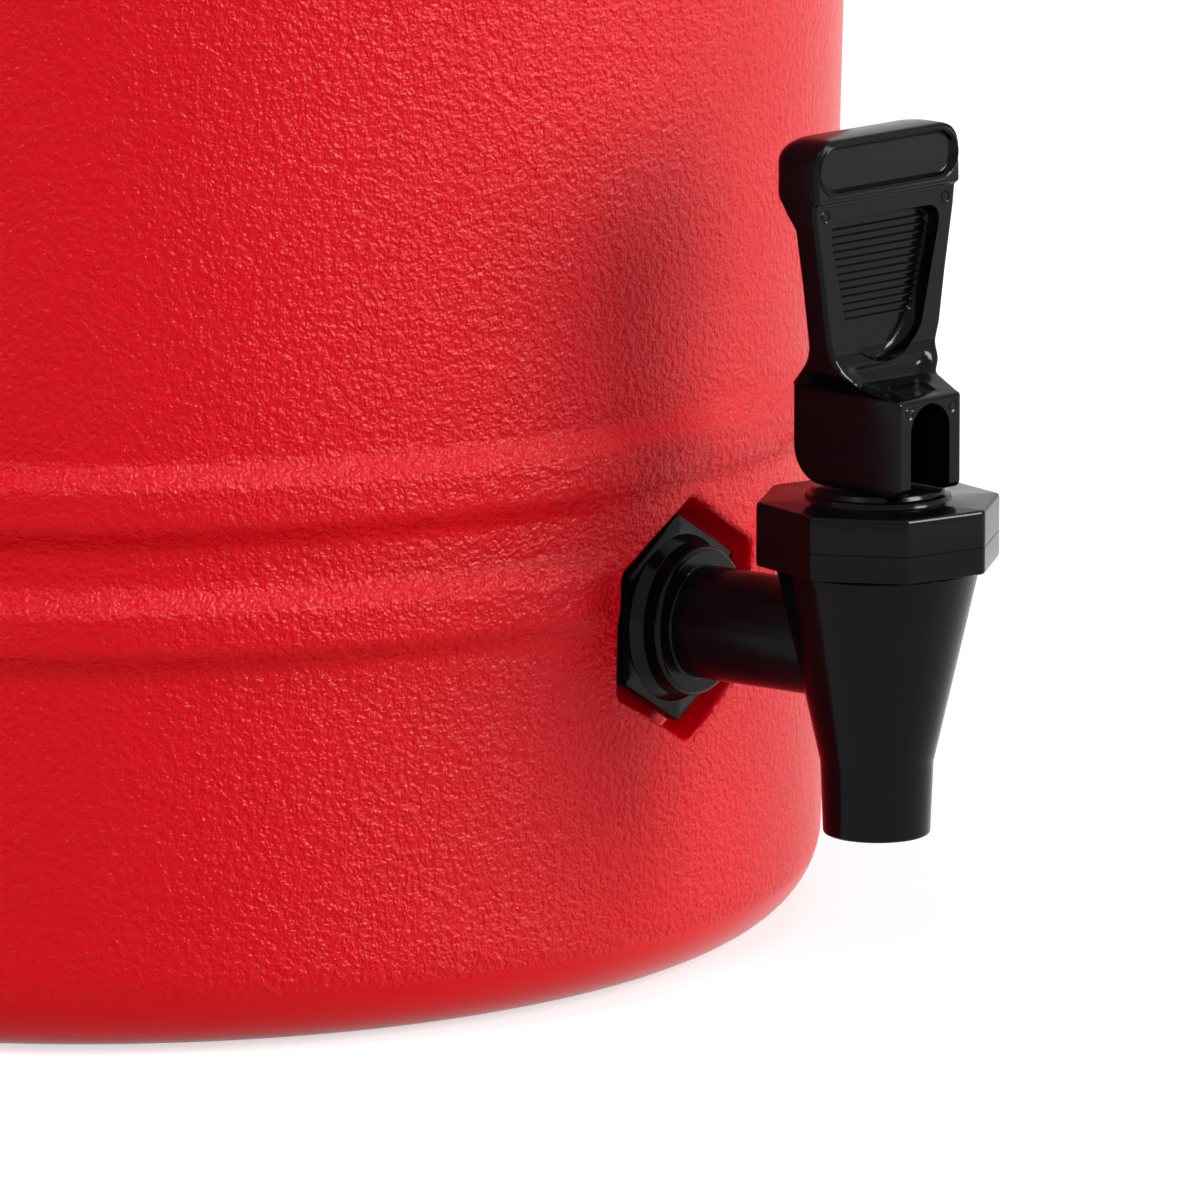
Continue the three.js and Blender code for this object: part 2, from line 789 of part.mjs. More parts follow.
function tapPieces() {
  piece('tap_body', tapBody(), 'blackPlastic', tapAxis);
  piece('tap_bonnet', tapBonnet(), 'blackPlastic', tapAxis);
  piece('seat_cup', seatCup(), 'silicone', tapAxis);
  const turned = new THREE.Group();
  turned.rotation.z = radians(handle.turnAngle);
  tapAxis.add(turned);
  piece('valve_stem', valveStem(), 'blackPlastic', turned);
  piece('tap_handle', tapHandle(), 'blackPlastic', turned);
  piece('handle_pin', crossRod(valve.pinRadius, handlePinLength), 'steel', turned);
  const boreRadius = tap.tailRadius + fit.gap;
  const washerSeat = pocketFloor + fit.gap;
  const outerWasher = shankTube(boreRadius, washer.outerRadius, washerSeat, flangeBack - fit.gap);
  piece('tap_outer_washer', outerWasher, 'silicone');
  const washerBack = padFace - fit.gap - washer.innerThickness;
  const innerWasher = shankTube(boreRadius, washer.innerRadius, washerBack, padFace - fit.gap);
  piece('tap_inner_washer', innerWasher, 'silicone');
  const nutFront = washerBack - fit.gap;
  const hexagon = polygon(pocket.cornerCount, nut.radius, nut.round, 90);
  const nutBody = atShank(frontSlab(hexagon, nutFront - nut.thickness, nutFront, nut.round));
  const nutBore = shankRod(boreRadius, nutFront - nut.thickness - fit.overrun, nutFront + fit.overrun);
  piece('tap_nut', cut(nutBody, nutBore), 'blackPlastic');
  const sleeveRadius = throughRadius + sleeve.wall;
  const sleeveTube = shankTube(throughRadius, sleeveRadius, linerBack + 2 * fit.gap, skinBack - fit.gap);
  piece('tap_sleeve', sleeveTube, 'naturalPolyethylene');
}

// Lid

const lidSeat = body.height + lid.seatGap;
const lidRadius = wallRadius(body.height) + lid.overhang;
const crownRadius = lidRadius - lid.crownInset;
const ledgeRise = lid.crownInset * Math.tan(radians(lid.ledgeAngle));
const lidTop = lidSeat + lid.crownHeight;
const dishFloor = lidTop - lid.dishDepth;
const dishRadius = crownRadius - lid.crownDraft - lid.rimWidth;
const plugRadius = wallRadius(body.height - lid.plugDepth, wallInset) - lid.plugClearance;
const plugFloor = body.height - lid.plugDepth;

// The lid's outside from its rim to the vent's bore, set in by inset.
function crownLine(inset, bore) {
  const drop = lid.ledgeInsetShare * inset;
  const topRadius = crownRadius - lid.crownDraft;
  const round = lid.crownRound;
  const ledge = lid.flangeHeight + lidSeat;
  return [
    [lidRadius - inset, lidSeat],
    [lidRadius - inset, ledge - drop],
    [crownRadius - inset, ledge + ledgeRise - drop],
    ...arc(topRadius - round, lidTop - round, round - inset, 0, 90, facets.coarseSteps),
    [dishRadius + lid.dishDepth, lidTop - inset],
    [dishRadius, dishFloor - inset],
    [bore, dishFloor - inset],
  ];
}

function lidShell() {
  const bore = vent.bushRadius + fit.gap;
  const inner = crownLine(lid.skin, bore);
  return revolve([...crownLine(0, bore), ...inner.reverse()], facets.bodyCount);
}

// The round at the plug's foot, from the axis side out, set in by inset.
function plugArc(inset) {
  const centre = [plugRadius - lid.plugRound, plugFloor + lid.plugRound];
  return arc(...centre, lid.plugRound - inset, -90, 0, facets.bevelSteps);
}

// The pan under the lid: a flat ring over the body's rim, and the plug that enters its mouth.
function lidLiner() {
  const outerRadius = lidRadius - lid.skin - fit.gap;
  const bore = vent.bushRadius + fit.gap;
  const wall = lid.liner;
  const grooveOut = wallRadius(body.height) - gasket.inset + gasket.width + fit.gap;
  const grooveIn = wallRadius(body.height) - gasket.inset - fit.gap;
  const grooveTop = body.height + fit.gap + gasket.height + fit.gap;
  return revolve([
    [outerRadius, lidSeat],
    [outerRadius, lidSeat + wall],
    [grooveOut + wall, lidSeat + wall],
    [grooveOut + wall, grooveTop + wall],
    [plugRadius - wall, grooveTop + wall],
    ...plugArc(wall).reverse(),
    [bore, plugFloor + wall],
    [bore, plugFloor],
    ...plugArc(0),
    [plugRadius, lidSeat],
    [grooveIn, lidSeat],
    [grooveIn, grooveTop],
    [grooveOut, grooveTop],
    [grooveOut, lidSeat],
  ], facets.bodyCount);
}

function lidFoam() {
  const inset = lid.skin + fit.gap;
  const bore = vent.bushRadius + fit.gap;
  const wall = lid.liner + fit.gap;
  const step = body.height + 2 * fit.gap + gasket.height + wall;
  const [, ...crown] = crownLine(inset, bore);
  return revolve([
    [lidRadius - inset, step],
    ...crown,
    [bore, plugFloor + wall],
    ...plugArc(wall),
    [plugRadius - wall, step],
  ], facets.bodyCount);
}

function ventCap(seat) {
  const top = seat + vent.capHeight;
  const grips = Array.from({ length: vent.capGripCount }, (_, i) => {
    const angle = (2 * Math.PI * i) / vent.capGripCount;
    const notch = rod(vent.capGripRadius, seat - fit.overrun, top + fit.overrun, facets.screwCount);
    return notch.translate(vent.capRadius * Math.cos(angle), vent.capRadius * Math.sin(angle), 0);
  });
  const knob = revolve([
    [0, seat - vent.stopLength],
    [vent.stopRadius, seat - vent.stopLength],
    [vent.stopRadius, seat],
    [vent.capRadius, seat],
    [vent.capRadius, top - vent.capRound],
    [vent.capRadius - vent.capRound, top],
    [0, top],
  ], facets.tapCount);
  return cut(knob, ...grips);
}

function lidPieces() {
  piece('lid_shell', lidShell(), 'redPolyethylene');
  piece('lid_liner', lidLiner(), 'naturalPolyethylene');
  piece('lid_foam', lidFoam(), 'foam');
  const gasketIn = wallRadius(body.height) - gasket.inset;
  const gasketFoot = body.height + fit.gap;
  const gasketTop = gasketFoot + gasket.height;
  const ring = tube(gasketIn, gasketIn + gasket.width, gasketFoot, gasketTop, facets.bodyCount);
  piece('lid_gasket', ring, 'silicone');
  const flangeTop = dishFloor + fit.gap + vent.bushFlange;
  piece('vent_bush', revolve([
    [vent.boreRadius, plugFloor - vent.bushTail],
    [vent.bushRadius, plugFloor - vent.bushTail],
    [vent.bushRadius, dishFloor + fit.gap],
    [vent.bushFlangeRadius, dishFloor + fit.gap],
    [vent.bushFlangeRadius, flangeTop],
    [vent.boreRadius, flangeTop],
  ], facets.smallCount), 'blackPlastic');
  const sealTop = flangeTop + fit.gap + vent.sealThickness;
  const seal = tube(vent.boreRadius, vent.bushFlangeRadius, flangeTop + fit.gap, sealTop, facets.smallCount);
  piece('vent_seal', seal, 'silicone');
  piece('vent_cap', ventCap(sealTop + fit.gap), 'blackPlastic');
}

// Latches, in a frame whose X axis points outward from the body's axis

const pivotHeight = body.height - latch.pivotDrop;
const pivotRadius = wallRadius(pivotHeight) + latch.pivotOut;

// A disc or rod along the latch's pivot, which lies along the frame's Y axis.
function pivotRod(radius, length) {
  const bar = rod(radius, -length / 2, length / 2, facets.smallCount).rotateX(Math.PI / 2);
  return bar.translate(pivotRadius, 0, pivotHeight);
}

// A slab of an outline of [radius, height], centred on the frame's Y axis.
const radialSlab = (points, width, bevel) => frontSlab(points, -width / 2, width / 2, bevel);

function latchArm() {
  const ledge = lidSeat + lid.flangeHeight;
  const slope = Math.tan(radians(lid.ledgeAngle));
  const armIn = lidRadius + latch.armInset;
  const armOut = armIn + latch.armThickness;
  const hookIn = lidRadius - latch.hookReach;
  const clear = fit.gap / Math.cos(radians(lid.ledgeAngle));
  const hookFoot = (radius) => ledge + clear + (lidRadius - radius) * slope;
  const hookTop = hookFoot(hookIn) + latch.hookThickness;
  const side = outline([
    [pivotRadius - latch.eyeRadius, pivotHeight],
    [armIn, pivotHeight + latch.armStart],
    [armIn, hookFoot(armIn)],
    [hookIn, hookFoot(hookIn)],
    [hookIn, hookTop, latch.edgeBevel],
    [armIn, hookTop, latch.elbowRound],
    [armOut + latch.tabReach, hookTop + latch.tabThickness, latch.edgeBevel],
    [armOut + latch.tabReach, hookTop, latch.edgeBevel],
    [armOut, hookTop - latch.hookThickness, latch.elbowRound],
    [armOut, pivotHeight + latch.armStart],
    [pivotRadius + latch.eyeRadius, pivotHeight],
  ], facets.bevelSteps);
  const arm = radialSlab(side, latch.width);
  const eye = pivotRod(latch.eyeRadius, latch.width);
  return cut(join(arm, eye), pivotRod(latch.pinRadius + fit.gap, latch.width + fit.overrun));
}

// Everything inside this solid is kept clear for the body's wall. Its facets lie outside the wall's corners.
function wallRoom() {
  const share = 1 / Math.cos(Math.PI / facets.bodyCount);
  const foot = [share * wallRadius(0, -fit.gap), 0];
  const top = [share * wallRadius(body.height, -fit.gap), body.height];
  return revolve([[0, 0], foot, top, [0, body.height]], facets.bodyCount);
}

const screwHeights = [1, 2].map((number) => pivotHeight - latch.eyeRadius - number * latch.screwSpacing);

function latchBracket() {
  const plateOut = wallRadius(pivotHeight) + latch.plateThickness;
  const plateHalf = latch.width / 2 + latch.cheekThickness + fit.gap;
  const plateFoot = pivotHeight - latch.plateBelow;
  const plateTop = pivotHeight + latch.plateAbove;
  const inside = wallRadius(plateFoot) - plateHalf;
  const plate = radialSlab(outline([
    [inside, plateFoot], [plateOut, plateFoot], [plateOut, plateTop], [inside, plateTop],
  ]), 2 * plateHalf);
  const cheek = (side) => {
    const radius = latch.cheekRadius;
    const points = outline([
      [inside, pivotHeight - latch.cheekHeel],
      [pivotRadius, pivotHeight - latch.cheekHeel, radius],
      [pivotRadius + radius, pivotHeight - latch.cheekHeelRound, latch.cheekHeelRound],
      [pivotRadius + radius, pivotHeight + radius, radius],
      [inside, pivotHeight + radius],
    ], facets.coarseSteps);
    const from = side * (plateHalf - latch.cheekThickness / 2) - latch.cheekThickness / 2;
    return frontSlab(points, from, from + latch.cheekThickness);
  };
  const eyeRoom = pivotRod(latch.eyeRadius + 2 * fit.gap, latch.width + 2 * fit.gap);
  const holes = screwHeights.map((height) => screwHole(height, plateOut));
  return cut(
    join(plate, cheek(1), cheek(-1)),
    wallRoom(),
    eyeRoom,
    pivotRod(latch.pinRadius + fit.gap, 2 * plateHalf + fit.overrun),
    ...holes,
  );
}

// A screw's way through what it fastens, along the frame's X axis and ending at out.
function screwHole(height, out, length = screw.shankLength) {
  const radius = screw.shankRadius + fit.gap;
  const hole = rod(radius, out - length - fit.gap, out + fit.overrun, facets.screwCount);
  return hole.rotateY(Math.PI / 2).translate(0, 0, height);
}

function screwPiece(height, seat, length = screw.shankLength) {
  const head = seat + fit.gap;
  const fastener = revolve([
    [0, seat - length],
    [screw.shankRadius, seat - length],
    [screw.shankRadius, head],
    [screw.headRadius, head],
    [screw.headRadius - screw.headTaper, head + screw.headHeight],
    [0, head + screw.headHeight],
  ], facets.screwCount);
  return fastener.rotateY(Math.PI / 2).translate(0, 0, height);
}

function latchPieces() {
  latch.angles.forEach((angle, i) => {
    const frame = new THREE.Group();
    frame.rotation.z = radians(angle);
    root.add(frame);
    piece(`latch_${i + 1}`, latchArm(), 'blackPlastic', frame);
    piece(`latch_bracket_${i + 1}`, latchBracket(), 'blackPlastic', frame);
    const pinLength = latch.width + 2 * (latch.cheekThickness + fit.gap);
    piece(`latch_pin_${i + 1}`, pivotRod(latch.pinRadius, pinLength), 'steel', frame);
    screwHeights.forEach((height, j) => {
      const seat = wallRadius(pivotHeight) + latch.plateThickness;
      piece(`latch_screw_${i + 1}_${j + 1}`, screwPiece(height, seat), 'steel', frame);
    });
  });
}

// Side handles, in a frame whose X axis points outward from the body's axis

const footCentre = grip.span / 2;
const footSeat = Math.sqrt(wallRadius(grip.height) ** 2 - footCentre ** 2);
const screwSide = footCentre + grip.screwOut;
const screwSeat = footSeat + grip.footThickness;

function gripHoles() {
  return [-1, 1].map((side) => (
    screwHole(grip.height, screwSeat, grip.screwLength).translate(0, side * screwSide, 0)));
}

function sideGrip() {
  const inner = footSeat;
  const out = wallRadius(grip.height) + grip.reach - grip.gripThickness / 2;
  const half = footCentre - grip.legInset;
  const path = new THREE.CurvePath();
  const corner = grip.cornerRound;
  const at = (x, y) => new THREE.Vector3(x, y, grip.height);
  path.add(new THREE.LineCurve3(at(inner, -half), at(out - corner, -half)));
  const bend = (first, middle, last) => path.add(new THREE.QuadraticBezierCurve3(first, middle, last));
  bend(at(out - corner, -half), at(out, -half), at(out, -half + corner));
  path.add(new THREE.LineCurve3(at(out, -half + corner), at(out, half - corner)));
  bend(at(out, half - corner), at(out, half), at(out - corner, half));
  path.add(new THREE.LineCurve3(at(out - corner, half), at(inner, half)));
  const section = outline(box(grip.gripThickness, grip.gripWidth, grip.gripRound), facets.bevelSteps);
  const sweep = { steps: grip.pathSteps, extrudePath: path };
  const bar = new THREE.ExtrudeGeometry(new THREE.Shape(section), sweep);
  const feet = [-1, 1].map((side) => {
    const foot = outline(box(grip.footWidth, grip.footHeight, grip.footRound), facets.coarseSteps);
    const plate = sideSlab(foot, footSeat - grip.footWidth / 2, screwSeat);
    return plate.translate(0, side * footCentre, grip.height);
  });
  return cut(join(bar, ...feet), wallRoom(), ...gripHoles());
}

function gripPieces() {
  grip.angles.forEach((angle, i) => {
    const frame = new THREE.Group();
    frame.rotation.z = radians(angle);
    root.add(frame);
    piece(`side_handle_${i + 1}`, sideGrip(), 'blackPlastic', frame);
    [-1, 1].forEach((side, j) => {
      const fastener = screwPiece(grip.height, screwSeat, grip.screwLength);
      const moved = fastener.translate(0, side * screwSide, 0);
      piece(`side_handle_screw_${i + 1}_${j + 1}`, moved, 'steel', frame);
    });
  });
}

// Screw holes in the outer shell, for the latch brackets and the side handles.
function mountHoles() {
  const latchSeat = wallRadius(pivotHeight) + latch.plateThickness;
  const forLatches = latch.angles.flatMap((angle) => (
    screwHeights.map((height) => screwHole(height, latchSeat).rotateZ(radians(angle)))));
  const forGrips = grip.angles.flatMap((angle) => (
    gripHoles().map((hole) => hole.rotateZ(radians(angle)))));
  return [...forLatches, ...forGrips];
}

piece('outer_shell', outerShell(), 'redPolyethylene');
piece('foam_core', foamCore(), 'foam');
piece('inner_liner', innerLiner(), 'naturalPolyethylene');
piece('foam_fill_plug', fillPlug(), 'redPolyethylene');
tapPieces();
lidPieces();
latchPieces();
gripPieces();

export default root;
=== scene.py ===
"""Insulated drinks dispenser: the looks of each piece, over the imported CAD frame. Sizes are in mm."""

import json
import math

import bmesh
import bpy
import numpy as np
from mathutils import Matrix, Vector


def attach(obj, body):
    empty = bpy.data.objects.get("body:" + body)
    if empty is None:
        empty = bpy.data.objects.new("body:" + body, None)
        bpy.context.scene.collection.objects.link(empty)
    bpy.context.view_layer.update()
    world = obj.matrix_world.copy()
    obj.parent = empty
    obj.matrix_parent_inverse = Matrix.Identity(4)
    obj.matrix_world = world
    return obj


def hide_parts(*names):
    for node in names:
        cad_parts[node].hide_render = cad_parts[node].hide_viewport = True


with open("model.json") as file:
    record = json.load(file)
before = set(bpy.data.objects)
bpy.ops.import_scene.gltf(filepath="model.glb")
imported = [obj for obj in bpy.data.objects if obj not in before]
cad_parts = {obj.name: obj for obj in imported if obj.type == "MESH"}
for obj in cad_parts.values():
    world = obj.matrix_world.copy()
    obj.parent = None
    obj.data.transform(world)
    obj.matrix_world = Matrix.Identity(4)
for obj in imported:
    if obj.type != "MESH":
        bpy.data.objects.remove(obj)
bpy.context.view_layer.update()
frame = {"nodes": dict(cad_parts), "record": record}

# Outer shell: one rotomoulded skin of red polyethylene, 4 mm thick, with its two hoops and the six-sided
# pocket for the tap moulded in. The mould's pebble grain stops above the foot and in the pocket.

MM = 0.001
FOOT_RADIUS, DRAFT_DEGREES, FOOT_ROUND, SHELL_TOP, SHELL_WALL = 139.5, 1.35, 16.5, 326.7, 4
DRAFT = math.tan(math.radians(DRAFT_DEGREES))
HOOP_HEIGHTS, HOOP_RISE, HOOP_HALF, HOOP_RAMP = (81.5, 105.0), 3.0, 8.5, 5.5
FILL_RADIUS, FILL_SHIFT = 13.3, 84
SHANK_Z, PATCH_ANGLE, PATCH_STEP, PATCH_LOW, PATCH_HIGH, WALL_STEP = 72.2, 13.5, 0.375, 39.0, 106.0, 1.5
POCKET_FLOOR, POCKET_MOUTH, POCKET_FOOT, POCKET_CORNER = 133.3, 23.6, 22.6, 2.4
POCKET_LIP, POCKET_FILLET, POCKET_HOLE = 1.5, 1.0, 10.9
# By how much the hoops fade where they meet the pocket
HOOP_FADE_SHARE = 0.8
GRAIN_START, GRAIN_RAMP = 10.5, 1.5

# What every finish has: the mean height of its grain, measured at grains of 0.9, 1.3 and 2.1 mm, where it
# hardly changes, how much finer its second grain is, how strongly the grain shows, how many soft clouds
# there are to a metre, and by what share its gloss is worn
GRAIN_MEAN, FINE_SHARE, GRAIN_STRENGTH, CLOUDS_PER_METRE, WEAR_SHARE = 0.926, 2.2, 0.6, 22.0, 0.12


def srgb(code):
    """The linear colour of an sRGB hex code, with full opacity."""
    values = np.array([int(code[i:i + 2], 16) for i in (1, 3, 5)]) / 255
    linear = np.where(values <= 0.04045, values / 12.92, ((values + 0.055) / 1.055) ** 2.4)
    return (*linear.tolist(), 1.0)


def add(tree, kind, inputs=None, **settings):
    """Adds a node with its settings. inputs maps a socket to a value, or to the output that feeds it."""
    node = tree.nodes.new(kind)
    for name, value in settings.items():
        setattr(node, name, value)
    for socket, value in (inputs or {}).items():
        if isinstance(value, bpy.types.NodeSocket):
            tree.links.new(value, node.inputs[socket])
        else:
            node.inputs[socket].default_value = value
    return node


def material(name, colour, roughness, ior, grain, relief, mottle, gloss=0.5, metallic=0.0, mask=None):
    """A finish with a grain of real width, soft mottling and slight wear in its gloss.

    The grain is rounded cells with a finer noise on them, less their mean, so that a mask fades it to flat.
    """
    result = bpy.data.materials.new(name)
    result.use_nodes = True
    tree = result.node_tree
    shader = tree.nodes["Principled BSDF"]
    place = add(tree, "ShaderNodeTexCoord").outputs["Object"]
    cells = add(tree, "ShaderNodeTexVoronoi", {"Vector": place, "Scale": 1 / (grain * MM), "Randomness": 1.0},
                feature="SMOOTH_F1")
    fine = add(tree, "ShaderNodeTexNoise", {"Vector": place, "Scale": FINE_SHARE / (grain * MM), "Detail": 2.0})
    height = add(tree, "ShaderNodeMath", {0: cells.outputs["Distance"], 1: fine.outputs["Fac"]}, operation="ADD")
    height = add(tree, "ShaderNodeMath", {0: height.outputs[0], 1: GRAIN_MEAN}, operation="SUBTRACT").outputs[0]
    if mask:
        share = add(tree, "ShaderNodeAttribute", attribute_name=mask).outputs["Fac"]
        height = add(tree, "ShaderNodeMath", {0: height, 1: share}, operation="MULTIPLY").outputs[0]
    bump = add(tree, "ShaderNodeBump", {"Height": height, "Strength": GRAIN_STRENGTH, "Distance": relief * MM})
    tree.links.new(bump.outputs["Normal"], shader.inputs["Normal"])
    cloud = add(tree, "ShaderNodeTexNoise", {"Vector": place, "Scale": CLOUDS_PER_METRE, "Detail": 3.0})
    light = tuple(min(1.0, c * (1 + mottle)) for c in srgb(colour)[:3]) + (1.0,)
    dark = tuple(c * (1 - mottle) for c in srgb(colour)[:3]) + (1.0,)
    tint = add(tree, "ShaderNodeMix", {0: cloud.outputs["Fac"], 6: dark, 7: light}, data_type="RGBA")
    tree.links.new(tint.outputs[2], shader.inputs["Base Color"])
    wear = add(tree, "ShaderNodeMapRange", {"Value": cloud.outputs["Fac"], "To Min": roughness * (1 - WEAR_SHARE),
                                            "To Max": roughness * (1 + WEAR_SHARE)})
    tree.links.new(wear.outputs[0], shader.inputs["Roughness"])
    shader.inputs["IOR"].default_value = ior
    shader.inputs["Specular IOR Level"].default_value = gloss
    shader.inputs["Metallic"].default_value = metallic
    return result


# Rotomoulded polyethylene: a satin red with the mould's pebbles. Its gloss is matched to the photo and is
# below the typical 0.5. The relief is set for the look, and isn't the real depth of the pebbles.
red = material("red_polyethylene", "#d00010", 0.26, 1.5, 1.4, 1.0, 0.03, gloss=0.11, mask="grain")


def mesh_object(name, points, faces, finish, body, sharp=35):
    """Makes an object from points in mm and a list of faces, turns its faces outward and lets it ride on a body."""
    mesh = bpy.data.meshes.new(name)
    mesh.from_pydata((np.asarray(points) * MM).tolist(), [], faces)
    form = bmesh.new()
    form.from_mesh(mesh)
    bmesh.ops.recalc_face_normals(form, faces=form.faces)
    form.to_mesh(mesh)
    form.free()
    mesh.shade_smooth()
    mesh.set_sharp_from_angle(angle=math.radians(sharp))
    mesh.materials.append(finish)
    thing = bpy.data.objects.new(name, mesh)
    bpy.context.scene.collection.objects.link(thing)
    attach(thing, body)
    return thing


def grid_faces(rows, columns, wrap_rows=False):
    """Quads of a grid whose columns close on themselves, as an array of vertex numbers."""
    r = np.arange(rows if wrap_rows else rows - 1)[:, None]
    c = np.arange(columns)[None]
    low, high, right = r * columns, (r + 1) % rows * columns, (c + 1) % columns
    return np.stack([low + c, low + right, high + right, high + c], -1).reshape(-1, 4)


def smooth(value):
    """Runs softly from 0 to 1 while value does: three times its square, less twice its cube."""
    value = np.clip(value, 0, 1)
    return value * value * (3 - 2 * value)


def polygon_radius(angle, corners, radius, corner_round, start):
    """Distance from the centre to a polygon with rounded corners, at each angle in radians.

    On a flat it is the flat's distance over the cosine of the angle from its middle. Near a corner it is the
    far side of the corner's circle.
    """
    step = 2 * np.pi / corners
    off = (angle - math.radians(start) + step / 2) % step - step / 2
    apothem = radius * math.cos(step / 2)
    centre = (apothem - corner_round) / math.cos(step / 2)
    edge = math.atan2(corner_round * math.sin(step / 2), centre + corner_round * math.cos(step / 2))
    arc = centre * np.cos(off) + np.sqrt(np.maximum(corner_round ** 2 - (centre * np.sin(off)) ** 2, 0))
    return np.where(np.abs(off) < edge, arc, apothem / np.cos(step / 2 - np.abs(off)))


def wall_radius(z):
    """Radius of the outside at height z: the foot's, plus the draft times z, plus each hoop's soft ramps."""
    hoops = sum(smooth((HOOP_HALF - np.abs(z - centre)) / HOOP_RAMP) for centre in HOOP_HEIGHTS)
    return FOOT_RADIUS + z * DRAFT + HOOP_RISE * hoops


def shell_points():
    """The shell as rows of circles: base rings round the fill hole, the foot's quarter round, then the wall.

    A row's point is its radius times the sine and cosine of its angle, from the front. The base rings slide
    from the fill hole's centre to the shell's as they grow.
    """
    inner = np.arange(-PATCH_ANGLE, PATCH_ANGLE, PATCH_STEP)
    outer = np.arange(PATCH_ANGLE, 360 - PATCH_ANGLE, WALL_STEP)
    angle = np.radians(np.concatenate([inner, outer]))
    foot = FOOT_RADIUS + FOOT_ROUND * DRAFT - FOOT_ROUND * math.hypot(1, DRAFT)
    share = np.linspace(0, 1, 10)[:-1]
    turn = np.radians(np.linspace(-90, -DRAFT_DEGREES, 14))
    wall = np.concatenate([np.arange(FOOT_ROUND + 1.5, PATCH_LOW, 1.5), np.arange(PATCH_LOW, PATCH_HIGH + 0.5),
                           np.arange(PATCH_HIGH + 1, 116), np.linspace(124, SHELL_TOP, 18)])
    z = np.concatenate([0 * share, FOOT_ROUND + FOOT_ROUND * np.sin(turn), wall])
    radius = np.concatenate([FILL_RADIUS + (foot - FILL_RADIUS) * share, foot + FOOT_ROUND * np.cos(turn),
                             wall_radius(wall)])
    shift = np.concatenate([FILL_SHIFT * (1 - share), 0 * turn, 0 * wall])
    points = np.stack([radius[:, None] * np.sin(angle), shift[:, None] - radius[:, None] * np.cos(angle),
                       np.broadcast_to(z[:, None], (len(z), len(angle)))], -1)
    return points, z, len(inner)


def pocket_rings(rim):
    """Rings from the patch's edge over the wall to the pocket's lip, round it, down its wall and to the hole.

    Each ring keeps the rim's angles about the shank. Its reach goes from the rim to the polygon, and its
    depth is the wall's there, less what it has sunk into the pocket.
    """
    x, z = rim[:, 0], rim[:, 2]
    angle = np.arctan2(z - SHANK_Z, x)
    mouth = polygon_radius(angle, 6, POCKET_MOUTH, POCKET_CORNER, 90)
    foot = polygon_radius(angle, 6, POCKET_FOOT, POCKET_CORNER, 90)
    edge = np.hypot(x, z - SHANK_Z)
    share = 1 - (1 - np.linspace(0, 1, 16)[1:]) ** 1.6
    reach = [edge + (mouth + POCKET_LIP - edge) * s for s in share]
    sink = [0.0] * len(share)
    for t in np.radians([18, 36, 54, 72, 90]):
        reach.append(mouth + POCKET_LIP * (1 - math.sin(t)))
        sink.append(POCKET_LIP * (1 - math.cos(t)))
    rings = []
    fade = np.concatenate([HOOP_FADE_SHARE * smooth(share), np.full(len(sink) - len(share), HOOP_FADE_SHARE)])
    for r, down, flat in zip(reach, sink, fade):
        across, up = r * np.cos(angle), SHANK_Z + r * np.sin(angle)
        wall = wall_radius(up) * (1 - flat) + (FOOT_RADIUS + up * DRAFT) * flat
        rings.append(np.stack([across, -np.sqrt(wall ** 2 - across ** 2) + down, up], -1))
    last = rings[-1][:, 1]
    for s in (0.35, 0.7, 1.0):
        r = mouth + (foot - mouth) * s
        y = last + (-POCKET_FLOOR - POCKET_FILLET - last) * s
        rings.append(np.stack([r * np.cos(angle), y, SHANK_Z + r * np.sin(angle)], -1))
    for t in np.radians([30, 60, 90]):
        r = foot - POCKET_FILLET * (1 - math.cos(t))
        y = np.full(len(r), -POCKET_FLOOR - POCKET_FILLET + POCKET_FILLET * math.sin(t))
        rings.append(np.stack([r * np.cos(angle), y, SHANK_Z + r * np.sin(angle)], -1))
    r = np.full(len(angle), POCKET_HOLE)
    rings.append(np.stack([r * np.cos(angle), np.full(len(r), -POCKET_FLOOR), SHANK_Z + r * np.sin(angle)], -1))
    return np.stack(rings), len(share) + 2


points, z, inner = shell_points()
rows, columns = points.shape[:2]
low, high = int(np.argmin(np.abs(z - PATCH_LOW))), int(np.argmin(np.abs(z - PATCH_HIGH)))
quads = grid_faces(rows, columns)
row, column = quads[:, 0] // columns, quads[:, 0] % columns
quads = quads[~((row >= low) & (row < high) & (column < inner))]
up, across = np.arange(low, high), np.arange(inner)
# The vertices round the patch, which the wall's grid and the pocket's rings share
rim = np.concatenate([low * columns + across, up * columns + inner,
                      high * columns + across[::-1] + 1, (up[::-1] + 1) * columns])
flat = points.reshape(-1, 3)
rings, open_rings = pocket_rings(flat[rim])
numbers = np.vstack([rim[None], len(flat) + np.arange(rings.shape[0] * len(rim)).reshape(-1, len(rim))])
after = np.roll(numbers, -1, axis=1)
patch = np.stack([numbers[:-1], after[:-1], after[1:], numbers[1:]], -1).reshape(-1, 4)
everything = np.vstack([flat, rings.reshape(-1, 3)])
grain = np.concatenate([smooth((flat[:, 2] - GRAIN_START) / GRAIN_RAMP),
                        np.repeat((np.arange(len(rings)) < open_rings).astype(float), len(rim))])
used, faces = np.unique(np.vstack([quads, patch]), return_inverse=True)
shell = mesh_object("shell_skin", everything[used], faces.reshape(-1, 4).tolist(), red, "container", 60)
mask = shell.data.attributes.new("grain", "FLOAT", "POINT")
mask.data.foreach_set("value", grain[used].astype(np.float32))
# The shell is open at the top, so its faces are turned outward by the sum of their outward areas
if sum(f.normal.dot(f.center) * f.area for f in shell.data.polygons) < 0:
    shell.data.flip_normals()
skin = shell.modifiers.new("skin", "SOLIDIFY")
skin.thickness, skin.offset = SHELL_WALL * MM, -1
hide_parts("outer_shell")

